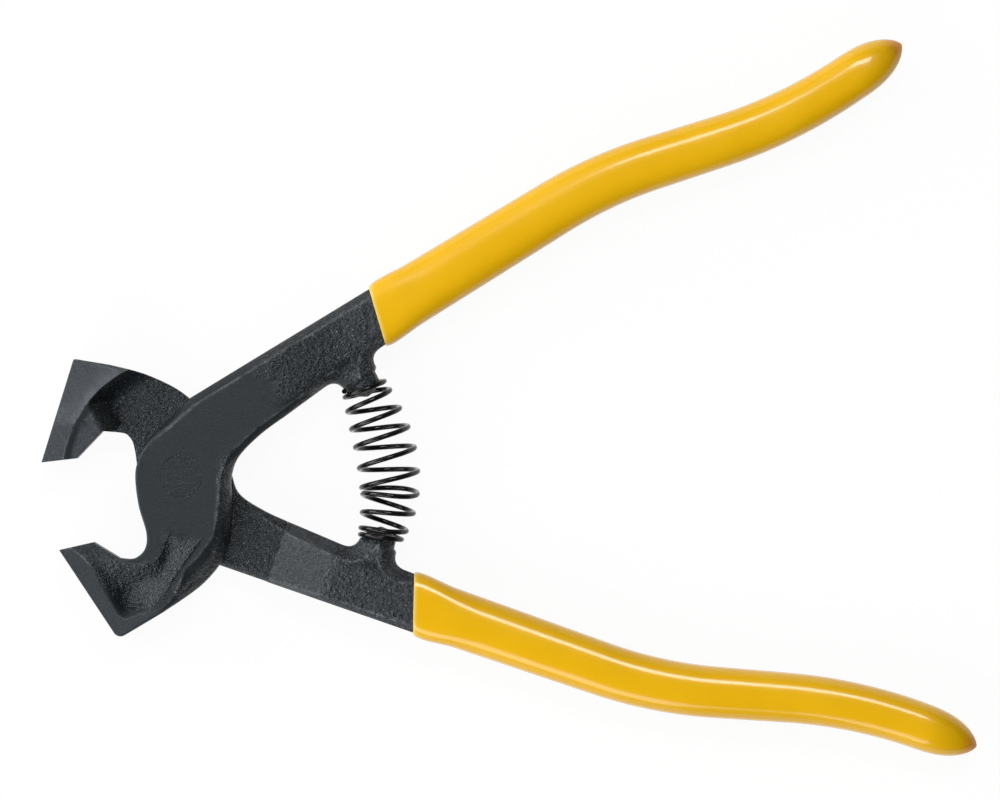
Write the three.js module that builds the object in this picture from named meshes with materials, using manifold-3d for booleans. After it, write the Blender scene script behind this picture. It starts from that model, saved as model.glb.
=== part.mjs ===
// Tile nippers: two forged levers lapped on a flush rivet, with brazed carbide tips, a barrel spring
// on two studs and dipped grips. Millimetres, +Z up.
//
// Frame: the rivet's axis is Z, the tool lies on Z = 0, and +X runs midway between the open handles.
// Each lever is drawn shut in a frame of its own: pivot at the origin, Z = 0 halfway through the joint,
// handle along +X on the +Y side, jaw towards -X, lapped half above. The rear lever is the same kind
// of solid rolled half a turn about X.

import * as THREE from 'three';
import { mergeVertices } from 'three/addons/utils/BufferGeometryUtils.js';
import Module from 'manifold-3d';

const wasm = await Module();
wasm.setup();

const rad = THREE.MathUtils.degToRad;

// ---------------------------------------------------------------- driving dimensions

const OPEN_ANGLE = 36.8; // between the levers, from jaws touching to the rest position
const JOINT_THICKNESS = 15; // jaws and lapped joint
const LAP_GAP = 0.3; // between the two lapped halves
const BAR_THICKNESS = 8.6; // bare handle bar
const BAR_WIDTH = 11.3; // bare handle bar where it enters the grip

const RIVET_SHANK = 7;
const RIVET_HEAD = 8.6;
const RIVET_HEAD_DEPTH = 1.2;
const RIVET_CLEARANCE = 0.2; // all round the rivet

const BOSS_RADIUS = 9.4; // pivot to the lever's edge inside the mouth
const MOUTH_SWELL = [[155, 1], [132, 1], [109, 1.06], [86, 1.18]]; // degrees from +X, boss radii
const SHOULDER_FOOT = 19.6; // radius where the jaw starts to rise from the lapped face
const SHOULDER_TOP = 24.3; // radius where the jaw reaches full thickness
const HANDLE_SHOULDER = 19.5; // along the handle, where it starts to rise from the lapped face
const HANDLE_SHOULDER_RUN = 4;
const PAD_END = 25; // along the handle, end of the joint's flat outer face
const PAD_RUN = 19; // length over which that face falls to the bar's

const HANDLE_LENGTH = 171.8; // along the handle's centre line, to the end of the grip
const GRIP_THICKNESS = 10;
const GRIP_WALL = 1.1;
const GRIP_FIT = 0.3; // between the tang and the grip
const SQUARENESS = 3; // of the grip's section: 2 is an ellipse, more is squarer
const GRIP_NOSE = 11; // length of the grip's rounded end
const TANG_END_WALL = 9; // grip material past the end of the tang
const TANG_NOSE = 4;

const FIRST_BEND_AT = 92.7; // along the handle's centre line
const FIRST_BEND_RADIUS = 92;
const BETWEEN_BENDS = 15;
const SECOND_BEND_RADIUS = 102;

const BRAZE_GAP = 0.3; // between a carbide tip and its pocket

const STUD_SEAT_RADIUS = 3.3;
const STUD_TIP_RADIUS = 1.5;
const STUD_ROOT_FLARE = 0.6; // widening of the stud from the ledge to the bar
const STUD_ROOT_RISE = 3.2; // bar edge to the ledge that the spring's end coil sits on
const STUD_SEAT_HEIGHT = 2;
const STUD_SEAT_TAPER = 0.3;
const STUD_TIP_GAP = 0.25; // from each stud's tip to where they face each other, jaws shut

const WIRE = 1.2;
const SPRING_TURNS = 9.5; // right-handed
const SPRING_END_TURNS = 1.5; // nearly closed turns at each end
const SPRING_COIL_GAP = 0.3; // between the wires of the closed turns
const SPRING_STUD_FIT = 0.2; // all round the stud, inside the end turns
const SPRING_BARREL = 1.9; // growth in radius from the ends to the middle
const SPRING_FULLNESS = 0.8; // less than 1 fills the barrel out towards its ends
const SPRING_SEAT_GAP = 0.3; // between an end coil and its ledge
const SPRING_BOW = 12; // how far each end holds its own direction

// What differs between the two forgings. Jaw sizes are along and across the line on which the jaws
// shut; backs and roots are points of the outline in the lever's own frame.
const FRONT = {
  name: 'front',
  jawLineTurn: 6.7, // closing line from the handles' middle line, degrees
  jawReach: 29.15, // pivot to cutting edge
  faceLength: 7.1,
  faceTilt: 18.4,
  throatSlope: 6.3,
  throatSlopeAngle: 62.4,
  throat: [[-15.8, -11.3], [-13, -10.5], [-11.3, -7.6], [-10.4, -1.8]],
  jawHeight: 21.8,
  jawLean: 2.3,
  jawBack: [[-15, -23.8], [-4.7, -21.7], [2.5, -17.3], [7.3, -8.7]],
  outerRoot: [8, 13.6],
  innerRoot: [24, 2.3],
  crotch: [[18, 1], [12.2, -1.3], [9.1, -4.6]],
  handleRise: 7, // handle's centre line above the pivot
  handleAngle: 7,
  firstBend: 13.7,
  secondBend: 15.7,
  gripStart: 50.4, // along the centre line
  rimSlant: 15, // of the grip's dipped rim
  gripWidth: 12.4,
  gripEndWidth: 9.7,
  studAt: 41, // along the handle, centre of the spring stud
  studMeet: -1.2, // where the two studs' tips face each other, jaws shut
  springLean: 16, // the spring's end from square across the tool, at rest
  tipFace: 1.9, // carbide on the cutting face
  tipDepth: 3.6, // carbide behind the bevel, at its inner end
  tipLength: 7.3, // carbide along the bevel
  steel: 0x2b2e30,
};

const REAR = {
  name: 'rear',
  jawLineTurn: -6.7,
  jawReach: 28.7,
  faceLength: 7.15,
  faceTilt: 12.2,
  throatSlope: 7.7,
  throatSlopeAngle: 52,
  throat: [[-13.9, -6], [-12.5, -5.7], [-11.1, -4.2], [-9.5, -0.2]],
  jawHeight: 21.7,
  jawLean: 11.6,
  jawBack: [[-19.3, -19.1], [-10.8, -18.6], [-1.8, -15.8], [7.3, -8.2]],
  outerRoot: [9.5, 15.8],
  innerRoot: [24, 4.7],
  crotch: [[18, 3.4], [12.4, 1.2], [9.9, -2.4]],
  handleRise: 9.1,
  handleAngle: 6.9,
  firstBend: 14.9,
  secondBend: 15.7,
  gripStart: 52.4,
  rimSlant: 18,
  gripWidth: 11.9,
  gripEndWidth: 9.4,
  studAt: 41.8,
  studMeet: 1.2,
  springLean: 27,
  tipFace: 3.9,
  tipDepth: 4.1,
  tipLength: 9.5,
  steel: 0x34383a,
};

// ---------------------------------------------------------------- values worked out from them

const HALF_JOINT = JOINT_THICKNESS / 2;
const LAP_FACE = LAP_GAP / 2; // a lever's lapped face, above the middle of the joint
const PAST = 5; // how far a cutting solid runs past what it cuts
const NOSE_SHARE = 0.7; // share of a handle bar's rings before its nose
const NOSE_FLAT = 0.14; // how small the last ring gets
const STEPS_PER_TURN = 16; // of the spring's wire
const STUD_LEDGE_RADIUS = STUD_SEAT_RADIUS + WIRE / 2;
const STUD_ROOT_RADIUS = STUD_LEDGE_RADIUS + STUD_ROOT_FLARE;
const SPRING_END_RADIUS = STUD_SEAT_RADIUS + SPRING_STUD_FIT + WIRE / 2; // to the wire's middle
const SPRING_END_PITCH = WIRE + SPRING_COIL_GAP;

// ---------------------------------------------------------------- booleans

function toSolid(geometry) {
  const bare = geometry.clone();
  bare.deleteAttribute('normal');
  bare.deleteAttribute('uv');
  const welded = mergeVertices(bare, 1e-4);
  return new wasm.Manifold(
    new wasm.Mesh({
      numProp: 3,
      vertProperties: new Float32Array(welded.attributes.position.array),
      triVerts: new Uint32Array(welded.index.array),
    }),
  );
}

function toMesh(solid, name, colour, roughness, metalness) {
  const made = solid.getMesh();
  const geometry = new THREE.BufferGeometry();
  geometry.setAttribute('position', new THREE.BufferAttribute(made.vertProperties, 3));
  geometry.setIndex(new THREE.BufferAttribute(made.triVerts, 1));
  geometry.computeVertexNormals();
  const material = new THREE.MeshStandardMaterial({ color: colour, roughness, metalness });
  const mesh = new THREE.Mesh(geometry, material);
  mesh.name = name;
  return mesh;
}

// ---------------------------------------------------------------- shared shapes

const vec = ([x, y]) => new THREE.Vector2(x, y);
const squared = (share) => Math.sign(share) * Math.abs(share) ** (2 / SQUARENESS);

// A flat outline drawn in XY, made solid between two heights.
function slab(points, bottom, top) {
  const shape = new THREE.Shape(points);
  const geometry = new THREE.ExtrudeGeometry(shape, { depth: top - bottom, bevelEnabled: false });
  geometry.translate(0, 0, bottom);
  return toSolid(geometry);
}

// A side profile drawn in XZ, made solid right across the lever.
function crossCut(profile) {
  const reach = 2 * SHOULDER_TOP;
  const shape = new THREE.Shape(profile.map(vec));
  const geometry = new THREE.ExtrudeGeometry(shape, { depth: 2 * reach, bevelEnabled: false });
  geometry.rotateX(Math.PI / 2);
  geometry.translate(0, reach, 0);
  return toSolid(geometry);
}

// A point given by its distance along the closing line from the pivot and its distance out from it.
function jawPoint(lever, forward, out) {
  const point = new THREE.Vector2(-forward, -out);
  return point.rotateAround(new THREE.Vector2(), rad(lever.jawLineTurn));
}

function cuttingEdge(lever) {
  return jawPoint(lever, lever.jawReach, 0);
}

// Along the cutting face from the edge towards the throat.
function facePoint(lever, distance) {
  const tilt = rad(lever.faceTilt);
  return jawPoint(lever, lever.jawReach - distance * Math.cos(tilt), distance * Math.sin(tilt));
}

// Along the bevel from the cutting edge, and inwards from it.
function bevelPoint(lever, along, inwards) {
  const lean = rad(lever.jawLean);
  const forward = -along * Math.sin(lean) - inwards * Math.cos(lean);
  const out = along * Math.cos(lean) - inwards * Math.sin(lean);
  return jawPoint(lever, lever.jawReach + forward, out);
}

function innerCorner(lever) {
  const heel = facePoint(lever, lever.faceLength);
  const slope = rad(lever.throatSlopeAngle);
  const step = jawPoint(lever, -lever.throatSlope * Math.cos(slope), lever.throatSlope * Math.sin(slope));
  return heel.add(step);
}

// ---------------------------------------------------------------- handle

// Centre line of the handle: straight, bent inwards, straight, then bent outwards to its end.
function handleLine(lever) {
  const line = new THREE.CurvePath();
  let at = new THREE.Vector2(0, lever.handleRise);
  let angle = rad(lever.handleAngle);
  const straight = (length) => {
    const end = new THREE.Vector2(Math.cos(angle), Math.sin(angle)).multiplyScalar(length).add(at);
    line.add(new THREE.LineCurve(at, end));
    at = end;
  };
  const bend = (turn, radius) => {
    const side = Math.sign(turn);
    const normal = new THREE.Vector2(-Math.sin(angle), Math.cos(angle)).multiplyScalar(side * radius);
    const centre = at.clone().add(normal);
    const from = angle - side * (Math.PI / 2);
    const arc = new THREE.EllipseCurve(centre.x, centre.y, radius, radius, from, from + turn, turn < 0);
    line.add(arc);
    angle += turn;
    at = arc.getPoint(1);
  };
  straight(FIRST_BEND_AT);
  bend(rad(-lever.firstBend), FIRST_BEND_RADIUS);
  straight(BETWEEN_BENDS);
  bend(rad(lever.secondBend), SECOND_BEND_RADIUS);
  straight(Math.max(HANDLE_LENGTH - line.getLength(), GRIP_NOSE));
  return line;
}

// A point beside the handle's centre line, outer side positive.
function besideHandle(line, along, offset) {
  const share = Math.min(along / line.getLength(), 1);
  const tangent = line.getTangentAt(share);
  const normal = new THREE.Vector2(-tangent.y, tangent.x);
  return line.getPointAt(share).addScaledVector(normal, offset);
}

// A rounded bar that follows the handle and closes with a tapering nose.
function handleBar(lever, { from, to, halfWidth, thickness, nose }) {
  const line = handleLine(lever);
  const noseStart = to - nose;
  const stretch = (share) => {
    if (share < NOSE_SHARE) return [from + ((noseStart - from) * share) / NOSE_SHARE, 1];
    const turn = (Math.PI / 2) * ((share - NOSE_SHARE) / (1 - NOSE_SHARE));
    return [noseStart + nose * Math.sin(turn), Math.max(Math.cos(turn), NOSE_FLAT)];
  };
  const geometry = new THREE.CylinderGeometry(1, 1, 1, 20, 22);
  const position = geometry.attributes.position;
  for (let i = 0; i < position.count; i += 1) {
    const [along, shrink] = stretch(position.getY(i) + 0.5);
    const across = -squared(position.getX(i)) * shrink * halfWidth(along);
    const up = squared(position.getZ(i)) * shrink * (thickness / 2);
    const point = besideHandle(line, along, across);
    position.setXYZ(i, point.x, point.y, up);
  }
  return toSolid(geometry);
}

function gripHalfWidth(lever) {
  return (along) => {
    const share = (along - lever.gripStart) / (HANDLE_LENGTH - lever.gripStart);
    return (lever.gripWidth + (lever.gripEndWidth - lever.gripWidth) * share) / 2;
  };
}

// A point of the grip's slanted rim, or of a line that far before it.
function rimPoint(lever, offset, before = 0) {
  const slide = offset * Math.tan(rad(lever.rimSlant));
  return besideHandle(handleLine(lever), lever.gripStart + slide - before, offset);
}

// Removes everything on the pivot's side of the rim.
function trimAtRim(solid, lever) {
  const rim = rimPoint(lever, 0);
  const block = new THREE.BoxGeometry(HANDLE_LENGTH, HANDLE_LENGTH, HANDLE_LENGTH);
  block.translate(-HANDLE_LENGTH / 2, 0, 0);
  block.rotateZ(rad(lever.handleAngle - lever.rimSlant));
  block.translate(rim.x, rim.y, 0);
  return solid.subtract(toSolid(block));
}

function gripSolid(lever) {
  const half = gripHalfWidth(lever);
  const from = lever.gripStart - PAST;
  const body = handleBar(lever, {
    from,
    to: HANDLE_LENGTH,
    halfWidth: half,
    thickness: GRIP_THICKNESS,
    nose: GRIP_NOSE,
  });
  const bore = handleBar(lever, {
    from,
    to: HANDLE_LENGTH - TANG_END_WALL + GRIP_FIT,
    halfWidth: (along) => half(along) - GRIP_WALL,
    thickness: GRIP_THICKNESS - 2 * GRIP_WALL,
    nose: TANG_NOSE,
  });
  return trimAtRim(body.subtract(bore), lever);
}

function tangSolid(lever) {
  const half = gripHalfWidth(lever);
  const inset = GRIP_WALL + GRIP_FIT;
  return handleBar(lever, {
    from: lever.gripStart - PAST,
    to: HANDLE_LENGTH - TANG_END_WALL,
    halfWidth: (along) => half(along) - inset,
    thickness: GRIP_THICKNESS - 2 * inset,
    nose: TANG_NOSE,
  });
}

// ---------------------------------------------------------------- lever

// Outline of jaw, joint and bare bar, up to the start of the grip.
function leverOutline(lever) {
  const mouth = MOUTH_SWELL.map(([turn, swell]) => {
    return new THREE.Vector2(BOSS_RADIUS * swell, 0).rotateAround(new THREE.Vector2(), rad(turn));
  });
  const shape = new THREE.Shape();
  const edge = cuttingEdge(lever);
  const heel = facePoint(lever, lever.faceLength);
  const corner = innerCorner(lever);
  shape.moveTo(edge.x, edge.y);
  shape.lineTo(heel.x, heel.y);
  shape.lineTo(corner.x, corner.y);
  shape.splineThru([...lever.throat.map(vec), ...mouth, vec(lever.outerRoot)]);
  const outerEnd = rimPoint(lever, BAR_WIDTH / 2, GRIP_FIT);
  const innerEnd = rimPoint(lever, -BAR_WIDTH / 2, GRIP_FIT);
  shape.lineTo(outerEnd.x, outerEnd.y);
  shape.lineTo(innerEnd.x, innerEnd.y);
  shape.lineTo(...lever.innerRoot);
  const bevelEnd = bevelPoint(lever, lever.jawHeight / Math.cos(rad(lever.jawLean)), 0);
  shape.splineThru([...lever.crotch.map(vec), ...lever.jawBack.map(vec).reverse()]);
  shape.lineTo(bevelEnd.x, bevelEnd.y);
  return shape.getPoints(5);
}

// The other lever's room: a round recess with a hollow shoulder, under the lapped half.
function lapRecess() {
  const deep = -HALF_JOINT - PAST;
  const hollow = new THREE.EllipseCurve(
    SHOULDER_FOOT,
    -HALF_JOINT,
    SHOULDER_TOP - SHOULDER_FOOT,
    HALF_JOINT + LAP_FACE,
    0,
    Math.PI / 2,
  );
  const profile = [new THREE.Vector2(0, deep), new THREE.Vector2(SHOULDER_TOP, deep)];
  profile.push(...hollow.getPoints(4), new THREE.Vector2(0, LAP_FACE));
  const geometry = new THREE.LatheGeometry(profile, 56);
  geometry.rotateX(Math.PI / 2);
  return toSolid(geometry);
}

// Takes the bar down to its own thickness: a ramp on the lapped side, a long slope on the outer side.
function barReliefs(lever) {
  const half = BAR_THICKNESS / 2;
  const end = lever.gripStart + PAST;
  const deep = HALF_JOINT + PAST;
  const lapped = crossCut([
    [BOSS_RADIUS, -deep],
    [end, -deep],
    [end, -half],
    [HANDLE_SHOULDER + HANDLE_SHOULDER_RUN, -half],
    [HANDLE_SHOULDER, LAP_FACE],
    [BOSS_RADIUS, LAP_FACE],
  ]);
  const outer = crossCut([
    [PAD_END, HALF_JOINT],
    [PAD_END + PAD_RUN, half],
    [end, half],
    [end, deep],
    [PAD_END, deep],
  ]);
  return lapped.add(outer);
}

// Shank with a countersunk head at each end, grown by the given clearance.
function rivetSolid(clearance) {
  const shank = RIVET_SHANK / 2 + clearance;
  const head = RIVET_HEAD / 2 + clearance;
  const end = HALF_JOINT + clearance;
  const neck = HALF_JOINT - RIVET_HEAD_DEPTH - clearance;
  const profile = [[0, -end], [head, -end], [shank, -neck], [shank, neck], [head, end], [0, end]];
  const geometry = new THREE.LatheGeometry(profile.map(vec), 36);
  geometry.rotateX(Math.PI / 2);
  return toSolid(geometry);
}

// Where the stud stands on the bar's inner edge, and how tall it is.
function studPlace(lever) {
  const angle = rad(lever.handleAngle);
  const near = vec(lever.innerRoot);
  const far = rimPoint(lever, -BAR_WIDTH / 2, GRIP_FIT);
  const root = near.clone().lerp(far, (lever.studAt - near.x) / (far.x - near.x));
  const height = root.y - lever.studMeet - STUD_TIP_GAP;
  return { root, angle, height };
}

function studSolid(lever) {
  const { root, angle, height } = studPlace(lever);
  const flare = new THREE.EllipseCurve(
    STUD_ROOT_RADIUS,
    STUD_ROOT_RISE,
    STUD_ROOT_FLARE,
    STUD_ROOT_RISE,
    1.5 * Math.PI,
    Math.PI,
    true,
  );
  const sink = BAR_WIDTH / 3;
  const seatTop = STUD_ROOT_RISE + STUD_SEAT_HEIGHT;
  const profile = [vec([0, -sink]), vec([STUD_ROOT_RADIUS, -sink]), ...flare.getPoints(4)];
  profile.push(vec([STUD_SEAT_RADIUS, STUD_ROOT_RISE]));
  profile.push(vec([STUD_SEAT_RADIUS - STUD_SEAT_TAPER, seatTop]));
  profile.push(vec([STUD_TIP_RADIUS, height]), vec([0, height]));
  const geometry = new THREE.LatheGeometry(profile, 18);
  geometry.rotateZ(Math.PI + angle);
  geometry.translate(root.x, root.y, 0);
  const tall = new THREE.BoxGeometry(HANDLE_LENGTH, HANDLE_LENGTH, BAR_THICKNESS);
  return toSolid(geometry).intersect(toSolid(tall));
}

// The carbide tip's outline: edge, seam on the cutting face, inner end, seam on the bevel.
function tipOutline(lever, gap) {
  return [
    bevelPoint(lever, -gap * 2, -gap * 2),
    facePoint(lever, lever.tipFace + gap).add(jawPoint(lever, 0, -gap * 2)),
    bevelPoint(lever, lever.tipLength + gap, lever.tipDepth + gap),
    bevelPoint(lever, lever.tipLength + gap, -gap * 2),
  ];
}

function tipSolid(lever) {
  return slab(tipOutline(lever, 0), -HALF_JOINT, HALF_JOINT);
}

function leverSolid(lever) {
  const pocket = slab(tipOutline(lever, BRAZE_GAP), -HALF_JOINT - PAST, HALF_JOINT + PAST);
  return slab(leverOutline(lever), -HALF_JOINT, HALF_JOINT)
    .subtract(lapRecess())
    .subtract(barReliefs(lever))
    .add(studSolid(lever))
    .add(tangSolid(lever))
    .subtract(rivetSolid(RIVET_CLEARANCE))
    .subtract(pocket);
}

// ---------------------------------------------------------------- spring

// Middle of the spring, bowed outwards between the two studs.
function springAxis() {
  const ends = [[REAR, -1], [FRONT, 1]].map(([lever, side]) => {
    const { root, angle } = studPlace(lever);
    const inwards = new THREE.Vector2(Math.sin(angle), -Math.cos(angle));
    const seat = root.addScaledVector(inwards, STUD_ROOT_RISE + WIRE / 2 + SPRING_SEAT_GAP);
    seat.rotateAround(new THREE.Vector2(), rad(OPEN_ANGLE / 2));
    const lean = rad(lever.springLean);
    const point = new THREE.Vector3(seat.x, side * seat.y, 0);
    const way = new THREE.Vector3(Math.sin(lean), -side * Math.cos(lean), 0);
    return [point, point.clone().addScaledVector(way, SPRING_BOW)];
  });
  return new THREE.CubicBezierCurve3(ends[0][0], ends[0][1], ends[1][1], ends[1][0]);
}

// A barrel-shaped coil along the axis, with nearly closed turns at both ends.
class BarrelCoil extends THREE.Curve {
  constructor(axis) {
    super();
    this.axis = axis;
    this.length = axis.getLength();
  }

  // Distance along the axis after so many turns.
  climb(turns) {
    const ends = SPRING_END_TURNS * SPRING_END_PITCH;
    const open = SPRING_TURNS - 2 * SPRING_END_TURNS;
    const pitch = (this.length - 2 * ends) / open;
    const inOpen = THREE.MathUtils.clamp(turns - SPRING_END_TURNS, 0, open);
    return (turns - inOpen) * SPRING_END_PITCH + inOpen * pitch;
  }

  getPoint(t, target = new THREE.Vector3()) {
    const turns = t * SPRING_TURNS;
    const share = THREE.MathUtils.clamp(this.climb(turns) / this.length, 0, 1);
    const bulge = Math.sin(Math.PI * share) ** SPRING_FULLNESS;
    const radius = SPRING_END_RADIUS + SPRING_BARREL * bulge;
    const centre = this.axis.getPointAt(share);
    const along = this.axis.getTangentAt(share);
    const across = new THREE.Vector3(along.y, -along.x, 0);
    const turn = Math.PI - 2 * Math.PI * turns;
    return target
      .copy(centre)
      .addScaledVector(across, radius * Math.cos(turn))
      .add(new THREE.Vector3(0, 0, radius * Math.sin(turn)));
  }
}

function springMesh() {
  const section = new THREE.Shape();
  section.absarc(0, 0, WIRE / 2, 0, 2 * Math.PI);
  const geometry = new THREE.ExtrudeGeometry(section, {
    steps: STEPS_PER_TURN * SPRING_TURNS,
    curveSegments: 3,
    extrudePath: new BarrelCoil(springAxis()),
  });
  return toMesh(toSolid(geometry), 'return_spring', 0x141516, 0.35, 0.6);
}

// ---------------------------------------------------------------- assembly

function leverGroup(lever) {
  const group = new THREE.Group();
  group.add(toMesh(leverSolid(lever), `${lever.name}_lever`, lever.steel, 0.55, 0.4));
  group.add(toMesh(tipSolid(lever), `${lever.name}_carbide_tip`, 0x55595d, 0.4, 0.7));
  group.add(toMesh(gripSolid(lever), `${lever.name}_grip`, 0xe6b520, 0.25, 0));
  return group;
}

const group = new THREE.Group();
group.position.z = HALF_JOINT;

const front = leverGroup(FRONT);
front.rotation.z = rad(OPEN_ANGLE / 2);

const rear = new THREE.Group();
rear.rotation.z = -rad(OPEN_ANGLE / 2);
const rolled = leverGroup(REAR);
rolled.rotation.x = Math.PI;
rear.add(rolled);

group.add(front, rear);
group.add(toMesh(rivetSolid(0), 'pivot_rivet', 0x34383a, 0.45, 0.6));
group.add(springMesh());

export default group;
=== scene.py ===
"""Tile nippers: two forged levers lapped on a flush rivet, carbide-tipped jaws, a barrel spring on
two studs and dipped vinyl grips.

Each lever is made shut, in a frame of its own, in millimetres: the pivot at the origin, the handle
along +X on the +Y side, the jaw towards -X. Its lapped half is above Z = 0, so its upper side is the
plain outer one and its lower side holds the other lever's recess. place() opens and seats it.
"""

from math import cos, pi, radians, sin, tan

import bpy
import numpy as np
from mathutils import Matrix, Vector
from mathutils.geometry import delaunay_2d_cdt


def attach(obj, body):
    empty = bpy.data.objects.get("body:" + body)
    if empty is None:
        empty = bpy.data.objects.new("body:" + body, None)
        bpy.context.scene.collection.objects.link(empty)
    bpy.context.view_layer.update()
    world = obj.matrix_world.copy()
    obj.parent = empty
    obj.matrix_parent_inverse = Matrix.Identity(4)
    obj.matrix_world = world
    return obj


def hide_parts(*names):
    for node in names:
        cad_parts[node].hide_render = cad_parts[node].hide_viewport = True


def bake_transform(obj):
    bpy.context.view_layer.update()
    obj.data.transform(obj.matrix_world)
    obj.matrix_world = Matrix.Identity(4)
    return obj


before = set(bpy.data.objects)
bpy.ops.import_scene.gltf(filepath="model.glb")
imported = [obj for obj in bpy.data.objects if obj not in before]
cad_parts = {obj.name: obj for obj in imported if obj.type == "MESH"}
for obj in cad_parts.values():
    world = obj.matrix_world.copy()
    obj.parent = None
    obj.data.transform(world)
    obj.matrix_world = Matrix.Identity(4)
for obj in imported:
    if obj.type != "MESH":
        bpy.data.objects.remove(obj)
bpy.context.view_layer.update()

bl_info = {
    "name": "Tile nippers",
    "version": (1, 0, 0),
    "blender": (4, 5, 0),
    "location": "View3D > Sidebar > Nippers",
    "description": "Forged tile nippers with carbide tips, a barrel spring and dipped grips",
    "category": "Add Mesh",
}

MM = 0.001

# ------------------------------------------------------------------ sizes, in millimetres

OPEN_ANGLE = 36.8
JOINT = 15.0
HALF = JOINT / 2
FACE = HALF - 0.004  # the flat faces stand a hair inside the joint's own thickness
LAP = 0.15  # gap between the two lapped faces
BAR_HALF = 4.3
BAR_WIDTH = 11.3

BOSS = 9.4
CREST = 24.3  # radius of the recess at the jaw's side face
FOOT = 18.6  # radius of the recess at its floor
STEP_FOOT = 23.4  # along the handle, foot and top of the recess's other end
STEP_TOP = 23.5
PAD_END = 25.0  # where the flat pad ends, along the handle, and how far its slope then runs
PAD_RUN = 19.0

HANDLE_LENGTH = 171.8
FIRST_BEND_AT = 92.7
FIRST_BEND_RADIUS = 92.0
BETWEEN_BENDS = 15.0
SECOND_BEND_RADIUS = 102.0
AFTER_BENDS = 60.0
GRIP_HALF = 5.0
GRIP_NOSE = 12.0
GRIP_SQUARE = 2.7  # how square the sleeve's section is, along it and at its rim
RIM_SQUARE = 3.6

STUD_ROOT = 4.5
STUD_LEDGE = 3.9
STUD_RISE = 3.2
STUD_SEAT = 3.3
STUD_SEAT_TOP = 5.2
STUD_TIP = 1.5
STUD_TIP_GAP = 0.25

RIVET_HEAD = 4.3
RIVET_SHANK = 3.5
RIVET_FLUSH = 0.012  # how far the heads sit below the faces
COIL_SEAT = 0.9  # from a stud's ledge to the middle of the first turn
COIL_PULL = 12.0  # how far the spring's ends are drawn straight

# Each lever's own sizes. turn, reach, height and lean lay out the jaw and its bevel; face and slope
# are the cutting face and the short slope behind it; throat, outer_root, inner_root, crotch and back
# are places on the outline; rise, angle and bends lay out the handle; stud_meet is how far off the
# middle the studs' tips meet when shut; tip is the carbide's reach along the face, into the jaw and
# along the bevel.
FRONT = {
    "name": "front",
    "turn": 6.7,
    "reach": 29.15,
    "face": 7.1,
    "face_tilt": 18.4,
    "slope": 6.3,
    "slope_angle": 62.4,
    "throat": [(-15.8, -11.3), (-13.0, -10.5), (-11.3, -7.6), (-10.4, -1.8)],
    "height": 21.8,
    "lean": 2.3,
    "corner": 1.6,
    "back": [(-15.0, -23.8), (-4.7, -21.7), (2.5, -17.3), (7.3, -8.7)],
    "outer_root": (8.0, 13.6),
    "inner_root": (24.0, 2.3),
    "crotch": [(18.0, 1.0), (12.2, -1.3), (9.1, -4.6)],
    "rise": 7.0,
    "angle": 7.0,
    "bends": (13.7, 15.7),
    "grip_start": 50.4,
    "rim_slant": 15.0,
    "grip_widths": (12.4, 9.7),
    "stud_at": 41.0,
    "stud_meet": -1.2,
    "spring_lean": 16.0,
    "tip": (1.9, 3.6, 7.3),
}
REAR = {
    "name": "rear",
    "turn": -6.7,
    "reach": 28.7,
    "face": 7.15,
    "face_tilt": 12.2,
    "slope": 7.7,
    "slope_angle": 52.0,
    "throat": [(-13.9, -6.0), (-12.5, -5.7), (-11.1, -4.2), (-9.5, -0.2)],
    "height": 21.7,
    "lean": 11.6,
    "corner": 0.3,
    "back": [(-19.3, -19.1), (-10.8, -18.6), (-1.8, -15.8), (7.3, -8.2)],
    "outer_root": (9.5, 15.8),
    "inner_root": (24.0, 4.7),
    "crotch": [(18.0, 3.4), (12.4, 1.2), (9.9, -2.4)],
    "rise": 9.1,
    "angle": 6.9,
    "bends": (14.9, 15.7),
    "grip_start": 52.4,
    "rim_slant": 18.0,
    "grip_widths": (11.9, 9.4),
    "stud_at": 41.8,
    "stud_meet": 1.2,
    "spring_lean": 27.0,
    "tip": (3.9, 4.1, 9.5),
}

# Faces whose normal rises less than this take a duller copy of the black, on a drafted edge, and
# elsewhere: painted shade on steep faces, partly the drafts' dull scale.
STEEP = 0.66
UPRIGHT = 0.12
PLAIN_GROUND_SHEEN = 0.45  # how far the plain side's ground strip takes the ground steel's colour, gloss and grinding marks: less than the recess side's, a painted difference in sheen
GRIND_TURN = 110  # direction of the grinding lines, in degrees

# Edge softness: width in from the outline, drop at the outline, and power (1 a chamfer, 2 a round).
CRISP = (0.14, 0.12, 1.6)
SEAM = (0.03, 0.003, 1.0)
ROUND_EDGE = (0.4, 0.35, 1.8)
BOSS_EDGE = (0.35, 0.3, 1.8)
BAR_EDGE = (1.4, 1.6, 1.4)
BAR_RECESS = (2.75, 2.4, 1.08)
DRAFT = (1.75, 2.4, 1.15)

RIDGE = ((-1.0, -12.9), (-2.5, -13.9), (-6.7, -16.3), (-10.8, -18.7), (-13.8, -21.2))

# The values that a forging's surface carries for its finish and for its painted sheen and highlights, each
# for the upper and lower side.
SURFACE = ("rough", "ground", "bar_sheen", "edge_highlight", "facet", "drafted")

# The stage, in metres: how far up the camera is, how wide a floor it sees, its middle and its turn.
CAMERA_HEIGHT = 3.0
VIEW_WIDTH = 0.2047
VIEW_CENTRE = (0.06638, 0.00855)
VIEW_TURN = -6.1
FLOOR_REACH = 3.0
LAMP_AIM = (0.06, 0.0, 0.0)
# Each lamp's place, width and height, and power in watts.
LAMPS = (
    ("key_strip", (0.26, 0.65, 1.4), (0.62, 0.33), 8),
    ("soft_sky", (-0.8, 0.75, 1.3), (1.6, 1.2), 3.5),
    ("west_window", (-1.2, 0.5, 0.56), (1.4, 0.7), 14),
    ("south_fill", (-0.6, -0.7, 0.7), (1.3, 0.6), 9),
)


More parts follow.
